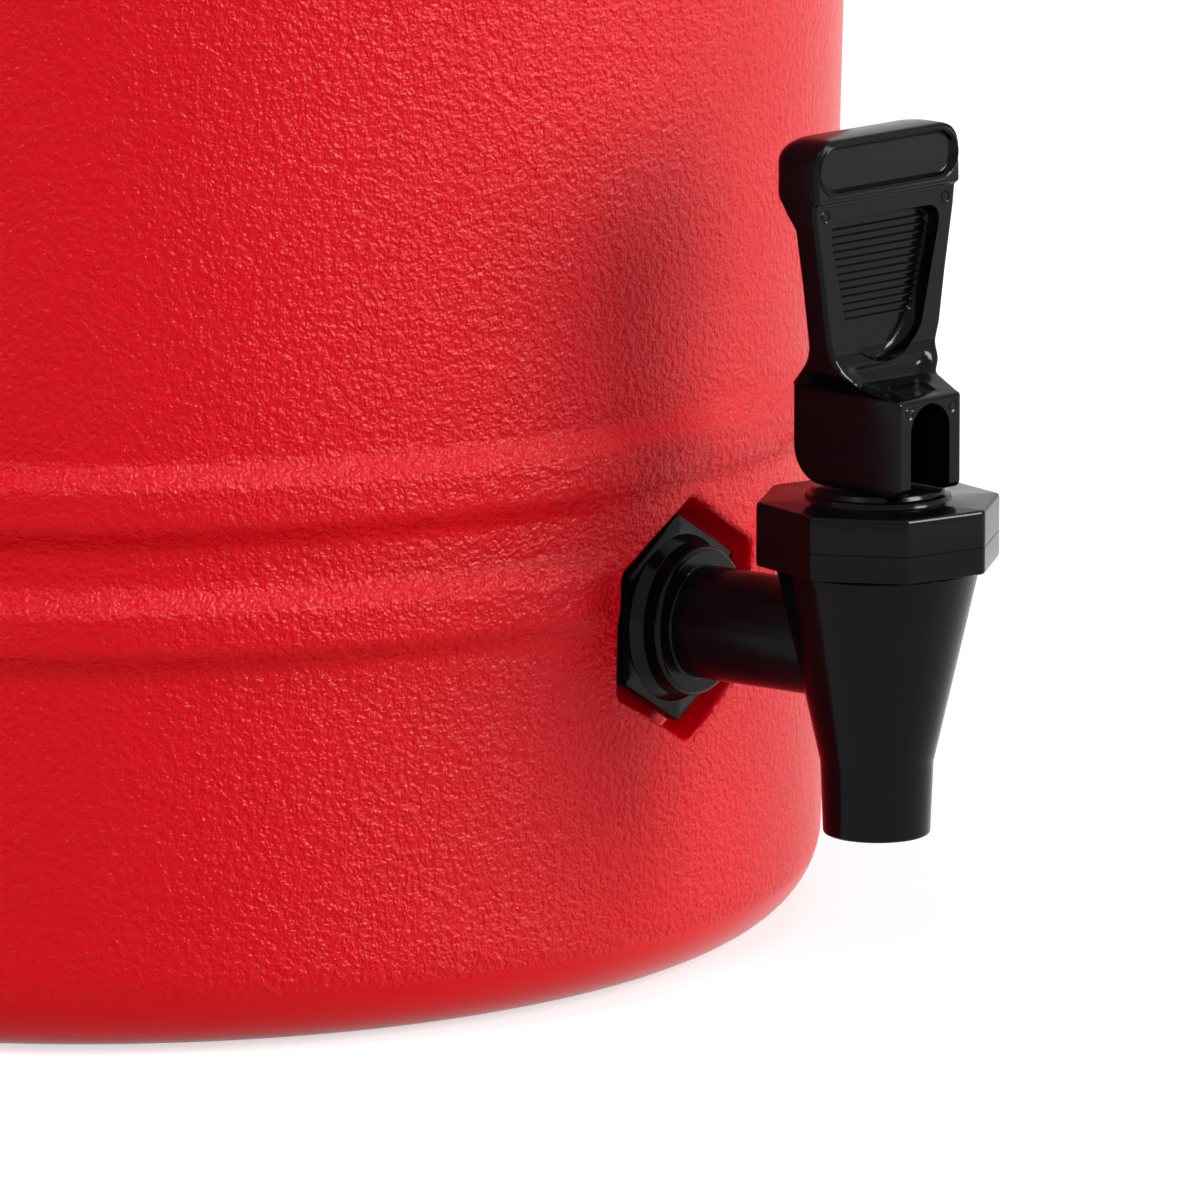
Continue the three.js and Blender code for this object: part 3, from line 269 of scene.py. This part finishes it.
# Liner and foam: a natural polyethylene tank, with the sleeve round the shank and the lid's own liner, and
# the poured foam that fills the walls of body and lid. All keep their CAD form.


def dress(slot, finish):
    """Gives a finish to every CAD node that the record puts in a material slot."""
    for part in frame["record"]["subparts"]:
        if part["material_slot"] == slot:
            mesh = frame["nodes"][part["node"]].data
            mesh.materials.clear()
            mesh.materials.append(finish)


# Unpigmented polyethylene is milky and satin. Poured foam is matt and open, with cells under a millimetre.
natural = material("natural_polyethylene", "#f1efe8", 0.42, 1.51, 2.0, 0.02, 0.02)
foam = material("polyurethane_foam", "#e8dcb0", 0.9, 1.45, 0.8, 0.2, 0.08)
dress("natural_polyethylene", natural)
dress("foam", foam)

# Tap body: one black injection moulding. The spout is a cone with a straight outlet; its shank runs back
# through the pocket, with a flared collar and a six-sided flange that keeps it from turning.

TAP_Y = -184.0

# Moulded plastic, near black, with the mould's polish. Its gloss is matched to the photo and is below the
# typical 0.5. Its real grain is too fine to show, and is drawn 0.9 mm wide.
black = material("black_plastic", "#050608", 0.15, 1.49, 0.9, 0.006, 0.06, gloss=0.1)
dress("black_plastic", black)


def rounded(corners, steps=6):
    """A line through corners (a, b, radius), with an arc tangent to both sides at each corner that has a radius.

    The arc starts its radius over the tangent of half the corner's angle away from the corner, and is drawn
    as the weighted curve of those two points and the corner.
    """
    line = []
    for i, (a, b, radius) in enumerate(corners):
        here = np.array([a, b], float)
        if radius <= 0 or i in (0, len(corners) - 1):
            line.append(here[None])
            continue
        into = np.array(corners[i - 1][:2]) - here
        out = np.array(corners[i + 1][:2]) - here
        reach = min(np.linalg.norm(into), np.linalg.norm(out)) * 0.49
        into, out = into / np.linalg.norm(into), out / np.linalg.norm(out)
        half = math.acos(np.clip(into @ out, -1, 1)) / 2
        tangent = min(radius / math.tan(half), reach)
        start, end = here + into * tangent, here + out * tangent
        t = np.linspace(0, 1, steps + 1)[:, None]
        weight = 1 / math.sin(half)
        arc = (1 - t) ** 2 * start + 2 * t * (1 - t) / weight * here + t ** 2 * end
        line.append(arc / ((1 - t) ** 2 + 2 * t * (1 - t) / weight + t ** 2))
    return np.vstack(line)


def turned(profile, radius_at=1.0, count=120):
    """Points about Z, row by row: (radius times cosine, radius times sine, height) at each angle round."""
    angle = np.arange(count) * 2 * np.pi / count
    radius = profile[:, :1] * np.broadcast_to(radius_at, count)[None]
    height = np.broadcast_to(profile[:, 1:], radius.shape)
    return np.stack([radius * np.cos(angle), radius * np.sin(angle), height], -1)


def lathe(name, profile, finish, body, place=None, count=120, radius_at=1.0, sharp=35):
    """A turned piece. A profile that starts and ends on the axis is closed there, any other closes on itself."""
    profile = np.asarray(profile, float)
    on_axis = profile[0, 0] == 0 and profile[-1, 0] == 0
    core = profile[1:-1] if on_axis else profile
    points = turned(core, radius_at, count).reshape(-1, 3)
    faces = grid_faces(len(core), count, not on_axis).tolist()
    if on_axis:
        ends = np.array([[0, 0, profile[0, 1]], [0, 0, profile[-1, 1]]])
        first = np.arange(count)
        last = first + (len(core) - 1) * count
        faces += np.stack([np.full(count, len(points)), first, np.roll(first, -1)], -1).tolist()
        faces += np.stack([np.full(count, len(points) + 1), np.roll(last, -1), last], -1).tolist()
        points = np.vstack([points, ends])
    if place is not None:
        points = place(points)
    return mesh_object(name, points, faces, finish, body, sharp)


def on_tap(points):
    """Moves points from the tap's own axis to the model's."""
    return points + [0, TAP_Y, 0]


def along_shank(points):
    """Lays a form about Z along the shank: its height becomes the distance out, its y the height."""
    return np.stack([points[:, 0], -points[:, 2], points[:, 1] + SHANK_Z], -1)


# Profiles are (radius, height, rounding)
spout = lathe("tap_spout", rounded([
    (0, 88.1, 0), (18.7, 88.1, 0.3), (19, 87.6, 0.4), (10.6, 50.6, 5), (10.05, 36.8, 0.7), (8.2, 36.8, 0.5),
    (7.2, 38, 0.6), (7.2, 56.4, 0), (0, 56.5, 0)], 8), black, "container", on_tap)
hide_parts("tap_body")
shank = lathe("tap_shank", rounded([
    (0, 138.3, 0), (16.0, 138.3, 0), (14.2, 140.2, 1.2), (14.2, 143.9, 1.1), (10.7, 143.9, 0.5),
    (10.7, 178, 0), (0, 178, 0)], 8), black, "container", along_shank)
tail = lathe("tap_tail", rounded([(0, 93, 0), (9.2, 93, 0), (10, 93.8, 0.4), (10, 136, 0), (0, 136, 0)]),
             black, "container", along_shank)


def prism(name, lines, corners, radius, corner_round, start, place, body, count=288):
    """A polygon's piece from rows (inset, height, is round) that close on themselves.

    A row's reach is the polygon's less its inset, or the inset itself where the row is round.
    """
    angle = np.arange(count) * 2 * np.pi / count
    inset, height, share = (np.asarray(lines, float)[:, i, None] for i in range(3))
    edge = polygon_radius(angle, corners, radius, corner_round, start)[None]
    reach = np.where(share > 0, inset, edge - inset)
    points = np.stack([reach * np.cos(angle), reach * np.sin(angle), height + 0 * reach], -1)
    faces = grid_faces(len(points), count, True).tolist()
    return mesh_object(name, place(points.reshape(-1, 3)), faces, black, body, 40)


FLANGE_RADIUS, FLANGE_CORNER = 20.0, 1.2
flange = prism("tap_flange", [
    (10.2, 135.4, 1), (0.3, 135.4, 0), (0, 135.7, 0), (0, 136.8, 0), (-0.06, 136.85, 0), (-0.06, 136.95, 0),
    (0, 137.0, 0), (0, 137.9, 0), (0.15, 138.25, 0), (0.5, 138.4, 0), (10.2, 138.4, 1)],
    6, FLANGE_RADIUS, FLANGE_CORNER, 90, along_shank, "container")

# Seals: washers on the shank, the cup that shuts the seat, the lid's gasket and the vent's seal, moulded in
# silicone and pressed between their neighbours. They keep their CAD form.

# Silicone rubber is soft and half matt, and its skin is finer than the 0.5 mm drawn
silicone = material("silicone_rubber", "#d9dad6", 0.5, 1.41, 0.5, 0.01, 0.03)
dress("silicone", silicone)

# Bonnet: the octagonal black cap that screws on the spout's neck, with a low two-step ring on top that
# the handle's cam presses on. A fine parting line runs round it.

BONNET_FLATS, BONNET_CORNER, BONNET_TURN = 43, 1.4, 3
bonnet = prism("bonnet_cap", [
    (16.8, 88.4, 1), (0.7, 88.4, 0), (0.2, 88.6, 0), (0, 89.1, 0), (0, 93.5, 0), (0.12, 93.58, 0),
    (0.12, 93.7, 0), (0, 93.78, 0), (0, 99.8, 0), (0.08, 100.2, 0), (0.3, 100.48, 0), (0.75, 100.6, 0),
    (14.3, 100.6, 1), (13.75, 100.8, 1), (13.6, 101.2, 1), (13.5, 101.7, 1), (13.2, 101.85, 1),
    (12.8, 101.9, 1), (12.6, 102.1, 1), (12.5, 102.6, 1), (12.2, 102.88, 1), (4.6, 102.9, 1),
    (4.6, 97.2, 1), (16.8, 97.2, 1)],
    8, BONNET_FLATS / 2 / math.cos(math.pi / 8), BONNET_CORNER, 90 + BONNET_TURN, on_tap, "container", 320)
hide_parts("tap_bonnet")

# Handle: a black injection-moulded paddle. Its forked foot pivots on the stem's cross pin and works as a
# cam; above it are the ribbed finger scoop and the bar with its recessed panel. Heights are from its foot.

FOOT_Z, HANDLE_TURN, HANDLE_TOP = 103.2, math.radians(-8), 66.4
FORK_HALF, FORK_FRONT, FORK_BACK, BLADE_FRONT, BLADE_BACK = 8.5, 13.1, 14.2, 1.5, 4.3
BAR_LOW, BAR_HALF, BAR_BACK, EDGE_ROUND = 55.2, 19.3, 9.8, 0.7
ARCH_HALF, ARCH_SPRING, ARCH_TOP, ARCH_DEEP = 5.25, 11.55, 16.8, -5.1
SCOOP_LOW, SCOOP_TOP, SCOOP_ARC, SCOOP_HALF, SCOOP_FLARE, SCOOP_CORNER, SCOOP_DEPTH = (
    23.4, 51.2, 11.25, 8.5, 7.5 / 30.2, 4, 3.0)
RIB_LOW, RIB_PITCH, RIB_COUNT, RIB_RISE = 31.2, 1.43, 13, 0.55
PANEL_HEIGHT, PANEL_HALF, PANEL_ROUND, PANEL_DEPTH, PANEL_RIM = 60.8, 13.9, 4.3, 0.9, 0.35
DISH_DEPTH, PIT_HALF, PIT_DEPTH = 1.5, 4.6, 1.6
# Marks of the mould's ejector pins, as (sideways, height)
MARKS, MARK_RADIUS, MARK_DEPTH = ((5.75, 15.6), (16.2, 52.3)), 1.0, 0.18


def handle_points():
    """Front and back of the handle over a grid of height and width.

    Three lines give its half width, front and back at each height. The front is that line, less the rounding
    of its edges, the scoop's quarter round, the panel, dish, pit and marks, with the ribs and rim added. The
    grid's columns crowd where the arch, scoop or panel ends.
    """
    h = np.concatenate([np.arange(0, 2, 0.12), np.arange(2, 10, 0.3), np.arange(10, 30, 0.15),
                        np.arange(30, 51, 0.13), np.arange(51, 62, 0.12), np.arange(62, 66.35, 0.1), [HANDLE_TOP]])
    half_line = rounded([(FORK_HALF, 0, 0), (FORK_HALF, 17.9, 1.0), (13.2, 22.4, 4), (15.2, 29, 9),
                         (16.6, 38.4, 0), (18.8, 50.8, 9), (BAR_HALF, 55.4, 0), (BAR_HALF, HANDLE_TOP, 4.6),
                         (0, HANDLE_TOP, 0)], 16)
    front_line = rounded([(0, 0, 0), (FORK_FRONT, 0, 1.5), (FORK_FRONT, 17.7, 0.75), (4.6, 20.2, 2.5),
                          (BLADE_FRONT, 25.2, 3.9), (BLADE_FRONT, 54.3, 0.4), (2.5, BAR_LOW, 0.7),
                          (2.2, HANDLE_TOP, 2.2), (0, HANDLE_TOP, 0)], 16)
    back_line = rounded([(0, 0, 0), (FORK_BACK, 0, 9), (FORK_BACK, 18.3, 1.5), (BLADE_BACK, 24.5, 9),
                         (BLADE_BACK, 49.9, 3), (BAR_BACK, BAR_LOW, 2.6), (BAR_BACK, HANDLE_TOP, 4.6),
                         (0, HANDLE_TOP, 0)], 16)

    def at(line):
        keep = np.concatenate([np.diff(line[:, 1]) > 1e-6, [False]])
        return np.interp(h, line[keep][:, 1], line[keep][:, 0])

    half, front, back = at(half_line), at(front_line), at(back_line)
    arch = np.where(h < ARCH_SPRING, ARCH_HALF, np.sqrt(np.maximum(ARCH_HALF ** 2 - (h - ARCH_SPRING) ** 2, 0)))
    scoop_side = SCOOP_HALF + SCOOP_FLARE * (h - SCOOP_LOW)
    arc_top = SCOOP_LOW + SCOOP_ARC
    scoop_foot = np.sqrt(np.maximum(SCOOP_ARC ** 2 - (arc_top - np.minimum(h, arc_top)) ** 2, 0))
    scoop = np.where(h < arc_top, np.minimum(scoop_side, scoop_foot), scoop_side)
    scoop = np.where((h > SCOOP_LOW) & (h < SCOOP_TOP), scoop, 0)
    above = np.where(h < 55.4, scoop_side, half - 2.4)
    feature = np.clip(np.where(h < ARCH_TOP, arch, np.where(h < SCOOP_TOP, scoop, above)), 0.4, half - 1.3)
    near = np.sin(np.linspace(0, np.pi / 2, 26))
    far = (1 - np.cos(np.linspace(0, np.pi, 22)[1:])) / 2
    right = np.concatenate([(feature[:, None] - 0.02) * near,
                            feature[:, None] + (half - feature)[:, None] * far], 1)
    x = np.concatenate([-right[:, :0:-1], right], 1)
    away = np.abs(x)
    e, f, b, tall = half[:, None], front[:, None], back[:, None], h[:, None]

    def corner(radius):
        radius = np.minimum(radius, e * 0.5)
        over = np.clip(away - (e - radius), 0, radius)
        return radius - np.sqrt(np.maximum(radius ** 2 - over ** 2, 0))

    ahead = f - corner(np.full_like(tall, EDGE_ROUND))
    aside, below = scoop[:, None] - away, SCOOP_TOP - tall
    inside = np.minimum(np.minimum(aside, below), SCOOP_CORNER - np.hypot(
        np.maximum(SCOOP_CORNER - aside, 0), np.maximum(SCOOP_CORNER - below, 0)))
    slope = 0.9 + 2.6 * smooth((36 - tall) / 12)
    depth = SCOOP_DEPTH * np.sqrt(np.maximum(1 - (1 - np.clip(inside / slope, 0, 1)) ** 2, 0))
    depth = np.where((tall > SCOOP_LOW) & (tall < SCOOP_TOP), depth, 0)
    rib = RIB_RISE * smooth((0.3 - np.abs((tall - RIB_LOW) / RIB_PITCH % 1 - 0.25)) / 0.14)
    ribbed = (tall > RIB_LOW - 0.2) & (tall < RIB_LOW + RIB_COUNT * RIB_PITCH - 0.4)
    rib = rib * ribbed * smooth((inside - 0.7) / 0.4)
    panel = PANEL_ROUND - np.hypot(np.maximum(away - PANEL_HALF, 0), tall - PANEL_HEIGHT)
    recess = PANEL_DEPTH * smooth(panel / 0.7)
    dish = DISH_DEPTH * smooth((e - 1.9 - away) / 2.5) * smooth((tall - 18.3) / 2) * smooth((24.6 - tall) / 3)
    pit = PIT_DEPTH * smooth((PIT_HALF - away) / 0.7) * smooth((tall - 18.1) / 0.35) * smooth((19.5 - tall) / 0.4)
    marks = sum(smooth((0.22 - np.abs(np.hypot(away - mx, tall - mh) - MARK_RADIUS)) / 0.12)
                for mx, mh in MARKS)
    rim = PANEL_RIM * smooth(1 - np.abs(panel + 0.35) / 0.5)
    ahead = ahead - depth + rib - recess - dish - pit + rim - MARK_DEPTH * marks
    in_arch = (away < arch[:, None]) & (tall < ARCH_TOP)
    ahead = np.where(in_arch, ARCH_DEEP, ahead)
    behind = -(b - corner(1.1 + 2.9 * smooth((tall - 50) / 6)))
    ahead = np.maximum(ahead, behind + 1.0)
    return x, ahead, behind, np.broadcast_to(tall, x.shape)


x, ahead, behind, tall = handle_points()
rows, width = x.shape
front = np.stack([x, -ahead, tall], -1)
rear = np.stack([x, -behind, tall], -1)[:, ::-1]
ring = np.concatenate([front, rear], 1).reshape(-1, 3)
# Strips between front and back close the foot and the top
i = np.arange(width - 1)
ends = [np.stack([s + i, s + i + 1, s + 2 * width - 2 - i, s + 2 * width - 1 - i], -1)
        for s in (0, (rows - 1) * 2 * width)]
c, s = math.cos(HANDLE_TURN), math.sin(HANDLE_TURN)
placed = np.stack([c * ring[:, 0] - s * ring[:, 1], s * ring[:, 0] + c * ring[:, 1] + TAP_Y,
                   ring[:, 2] + FOOT_Z], -1)
handle = mesh_object("paddle", placed, np.vstack([grid_faces(rows, 2 * width), *ends]).tolist(), black, "handle", 32)
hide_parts("tap_handle")

# Pins and screws: turned and rolled stainless steel, pressed or screwed into their neighbours. They keep
# their CAD form.

# Stainless steel with the fine marks of its rolling, which are drawn 0.3 mm wide to show
steel = material("stainless_steel", "#c9cacb", 0.28, 1.5, 0.3, 0.003, 0.03, metallic=1.0)
dress("steel", steel)

# Lid: a rotomoulded red crown with a sloping ledge for the latches and a shallow dish, over a natural
# liner and foam. It isn't in the photo.

# The same polyethylene as the shell's, off a polished mould, so its grain is nearly flat
red_smooth = material("red_polyethylene_smooth", "#cf0010", 0.4, 1.5, 1.3, 0.02, 0.03, gloss=0.12)
dress("red_polyethylene", red_smooth)
crown = lathe("lid_crown", rounded([
    (148.9, 331.5, 0), (148.9, 343.5, 1.6), (135.9, 351.0, 2.0), (133.4, 376.5, 9), (124.4, 376.5, 1.5),
    (120.4, 372.5, 1.5), (10.3, 372.5, 0), (10.3, 368.5, 0), (118.7, 368.5, 1), (122.7, 372.2, 1),
    (129.4, 372.2, 5), (131.9, 349.0, 1), (144.9, 341.5, 1), (144.9, 331.5, 0)], 8),
    red_smooth, "lid", None, 240, sharp=50)
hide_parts("lid_shell")

# Vent cap: a black moulded knob with eight finger notches, screwed down on the vent's seal

CAP_RADIUS, NOTCH_RADIUS, NOTCHES = 19, 2.6, 8
off = (np.arange(240) * 2 * np.pi / 240 + np.pi / NOTCHES) % (2 * np.pi / NOTCHES) - np.pi / NOTCHES
# In a notch the knob's edge is the near side of a circle that is centred on the edge
notch = CAP_RADIUS * np.cos(off) - np.sqrt(np.maximum(NOTCH_RADIUS ** 2 - (CAP_RADIUS * np.sin(off)) ** 2, 0))
in_notch = np.abs(CAP_RADIUS * np.sin(off)) < NOTCH_RADIUS
vent_shape = np.where(in_notch, np.minimum(notch, CAP_RADIUS), CAP_RADIUS) / CAP_RADIUS
cap = lathe("vent_knob_cap", rounded([
    (0, 377.5, 0), (18.4, 377.5, 0), (19, 378.1, 0.5), (18.9, 388.5, 1.5), (15.5, 388.5, 0.6),
    (14.8, 388.0, 0.4), (0, 388.0, 0)], 6), black, "vent_knob", None, 240, vent_shape)
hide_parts("vent_cap")

# Latches, brackets and side grips: black injection mouldings held by stainless screws. Each is its CAD
# form with its flat facets merged and its edges eased.

LATCH_EASE, GRIP_EASE, LATCH_CREASE, GRIP_CREASE = 0.6, 0.9, 40, 62


def eased(node, body, width, segments, crease):
    """A copy of a CAD node with its facets merged into flats and its edges rounded by width in mm."""
    source = frame["nodes"][node]
    form = bmesh.new()
    form.from_mesh(source.data)
    form.transform(source.matrix_world)
    bmesh.ops.remove_doubles(form, verts=form.verts, dist=0.00001)
    bmesh.ops.dissolve_limit(form, angle_limit=math.radians(1), verts=form.verts, edges=form.edges)
    mesh = bpy.data.meshes.new(node + "_eased")
    form.to_mesh(mesh)
    form.free()
    mesh.shade_smooth()
    mesh.set_sharp_from_angle(angle=math.radians(crease))
    mesh.materials.clear()
    mesh.materials.append(black)
    thing = bpy.data.objects.new(node + "_eased", mesh)
    bpy.context.scene.collection.objects.link(thing)
    edge = thing.modifiers.new("edge", "BEVEL")
    edge.width, edge.segments = width * MM, segments
    edge.limit_method, edge.angle_limit, edge.harden_normals = "ANGLE", math.radians(crease), True
    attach(thing, body)
    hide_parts(node)


for number in (1, 2, 3, 4):
    eased(f"latch_{number}", f"latch_arm_{number}", LATCH_EASE, 2, LATCH_CREASE)
    eased(f"latch_bracket_{number}", "container", LATCH_EASE, 2, LATCH_CREASE)
for number in (1, 2):
    eased(f"side_handle_{number}", "container", GRIP_EASE, 3, GRIP_CREASE)

# Floor and surround: a pale matt ground and a white surround. Where the camera or a reflection sees them
# they are white, the ground by a glow that grows outwards, where the lamps' light fades.

FLOOR_HALF, FLOOR_COLOUR, SURROUND_LIGHT = 6, 0.6, 0.06
GLOW_NEAR, GLOW_FAR, GLOW_START, GLOW_END = 0.62, 1.0, 0.3, 1.6


def seen_white(tree):
    """The Light Path node, and a value that is 1 for a camera, glossy or transmission ray, else 0."""
    rays = add(tree, "ShaderNodeLightPath")
    seen = add(tree, "ShaderNodeMath", {0: rays.outputs["Is Camera Ray"], 1: rays.outputs["Is Glossy Ray"]},
               operation="MAXIMUM")
    return rays, add(tree, "ShaderNodeMath", {0: seen.outputs[0], 1: rays.outputs["Is Transmission Ray"]},
                     operation="MAXIMUM").outputs[0]


ground = bpy.data.meshes.new("floor")
ground.from_pydata([(a * FLOOR_HALF, b * FLOOR_HALF, 0) for a, b in ((-1, -1), (1, -1), (1, 1), (-1, 1))], [],
                   [(0, 1, 2, 3)])
floor = bpy.data.objects.new("floor", ground)
bpy.context.scene.collection.objects.link(floor)
pale = bpy.data.materials.new("pale_ground")
pale.use_nodes = True
tree = pale.node_tree
tree.nodes.clear()
_, seen = seen_white(tree)
reach = add(tree, "ShaderNodeVectorMath", {0: add(tree, "ShaderNodeTexCoord").outputs["Object"]},
            operation="LENGTH").outputs["Value"]
strength = add(tree, "ShaderNodeMapRange", {"Value": reach, "From Min": GLOW_START, "From Max": GLOW_END,
                                            "To Min": GLOW_NEAR, "To Max": GLOW_FAR}).outputs[0]
glow = add(tree, "ShaderNodeEmission", {"Color": (1, 1, 1, 1), "Strength": strength})
matt = add(tree, "ShaderNodeBsdfDiffuse", {"Color": (FLOOR_COLOUR, FLOOR_COLOUR, FLOOR_COLOUR, 1)})
both = add(tree, "ShaderNodeAddShader", {0: glow.outputs[0], 1: matt.outputs[0]})
mixed = add(tree, "ShaderNodeMixShader", {0: seen, 1: matt.outputs[0], 2: both.outputs[0]})
add(tree, "ShaderNodeOutputMaterial", {"Surface": mixed.outputs[0]})
ground.materials.append(pale)

world = bpy.data.worlds.new("surround")
bpy.context.scene.world = world
world.use_nodes = True
tree = world.node_tree
tree.nodes.clear()
rays, seen = seen_white(tree)
soft = add(tree, "ShaderNodeMath", {0: rays.outputs["Is Diffuse Ray"], 1: SURROUND_LIGHT}, operation="MULTIPLY")
level = add(tree, "ShaderNodeMath", {0: seen, 1: soft.outputs[0]}, operation="ADD")
shade = add(tree, "ShaderNodeBackground", {"Color": (1, 1, 1, 1), "Strength": level.outputs[0]})
add(tree, "ShaderNodeOutputWorld", {"Surface": shade.outputs[0]})

# Camera and lamps: the camera stands where the photo was taken from. Fills light the surfaces softly, and
# gloss lamps only make the highlights. Their places are in the camera's directions, in metres.

AZIMUTH, ELEVATION, DISTANCE = math.radians(-53.688), math.radians(11.565), 2.36763
CAMERA_RIGHT, CAMERA_UP, LENS, SENSOR = 0.09657, 0.05761, 361.70, 36
MIDDLE = np.array([0, 0, 0.15])
BACK = np.array([math.sin(AZIMUTH) * math.cos(ELEVATION), -math.cos(AZIMUTH) * math.cos(ELEVATION),
                 math.sin(ELEVATION)])
RIGHT = np.array([math.cos(AZIMUTH), math.sin(AZIMUTH), 0])
UP = np.cross(BACK, RIGHT)

# Name, right, up and back in metres, width, height, watts, and whether it only shows in gloss
for name, right, up, back, wide, high, watts, gloss_only in (
        ("fill_front", 0.1, 0.7, 2.0, 1.4, 1.4, 16.5, False),
        ("fill_left", -1.9, 0.5, 0.9, 1.2, 1.4, 12, False),
        ("fill_left_high", -0.9, 1.5, 1.4, 0.4, 0.8, 19, False),
        ("fill_right", 1.9, 0.5, 0.6, 1.2, 1.6, 26, False),
        ("fill_right_low", 1.9, 0.3, -0.1, 1.2, 1.4, 22, False),
        ("fill_top", 0.2, 1.9, 0.1, 1.6, 1.6, 9, False),
        ("gloss_left", -0.9, 1.5, 1.4, 0.3, 0.5, 40, True),
        ("gloss_band", 1.8, 0.9, 0.84, 0.7, 1.2, 110, True),
        ("gloss_right", 1.9, 0.3, -0.1, 1.2, 1.4, 40, True)):
    light = bpy.data.lights.new(name, "AREA")
    light.shape, light.size, light.size_y, light.energy = "RECTANGLE", wide, high, watts
    lamp = bpy.data.objects.new(name, light)
    bpy.context.scene.collection.objects.link(lamp)
    lamp.location = MIDDLE + RIGHT * right + UP * up + BACK * back
    aim = Vector((MIDDLE - np.array(lamp.location)).tolist())
    lamp.rotation_mode = "QUATERNION"
    lamp.rotation_quaternion = aim.to_track_quat("-Z", "Y")
    lamp.visible_glossy, lamp.visible_diffuse = gloss_only, not gloss_only

camera = bpy.data.cameras.new("camera")
camera.lens, camera.sensor_width = LENS, SENSOR
camera.clip_start, camera.clip_end = 0.05, 50
view = bpy.data.objects.new("camera", camera)
bpy.context.scene.collection.objects.link(view)
view.rotation_mode = "QUATERNION"
view.rotation_quaternion = Matrix(np.column_stack([RIGHT, UP, BACK]).tolist()).to_quaternion()
view.location = RIGHT * CAMERA_RIGHT + UP * CAMERA_UP + BACK * DISTANCE
bpy.context.scene.camera = view
bpy.context.scene.view_settings.view_transform = "Standard"
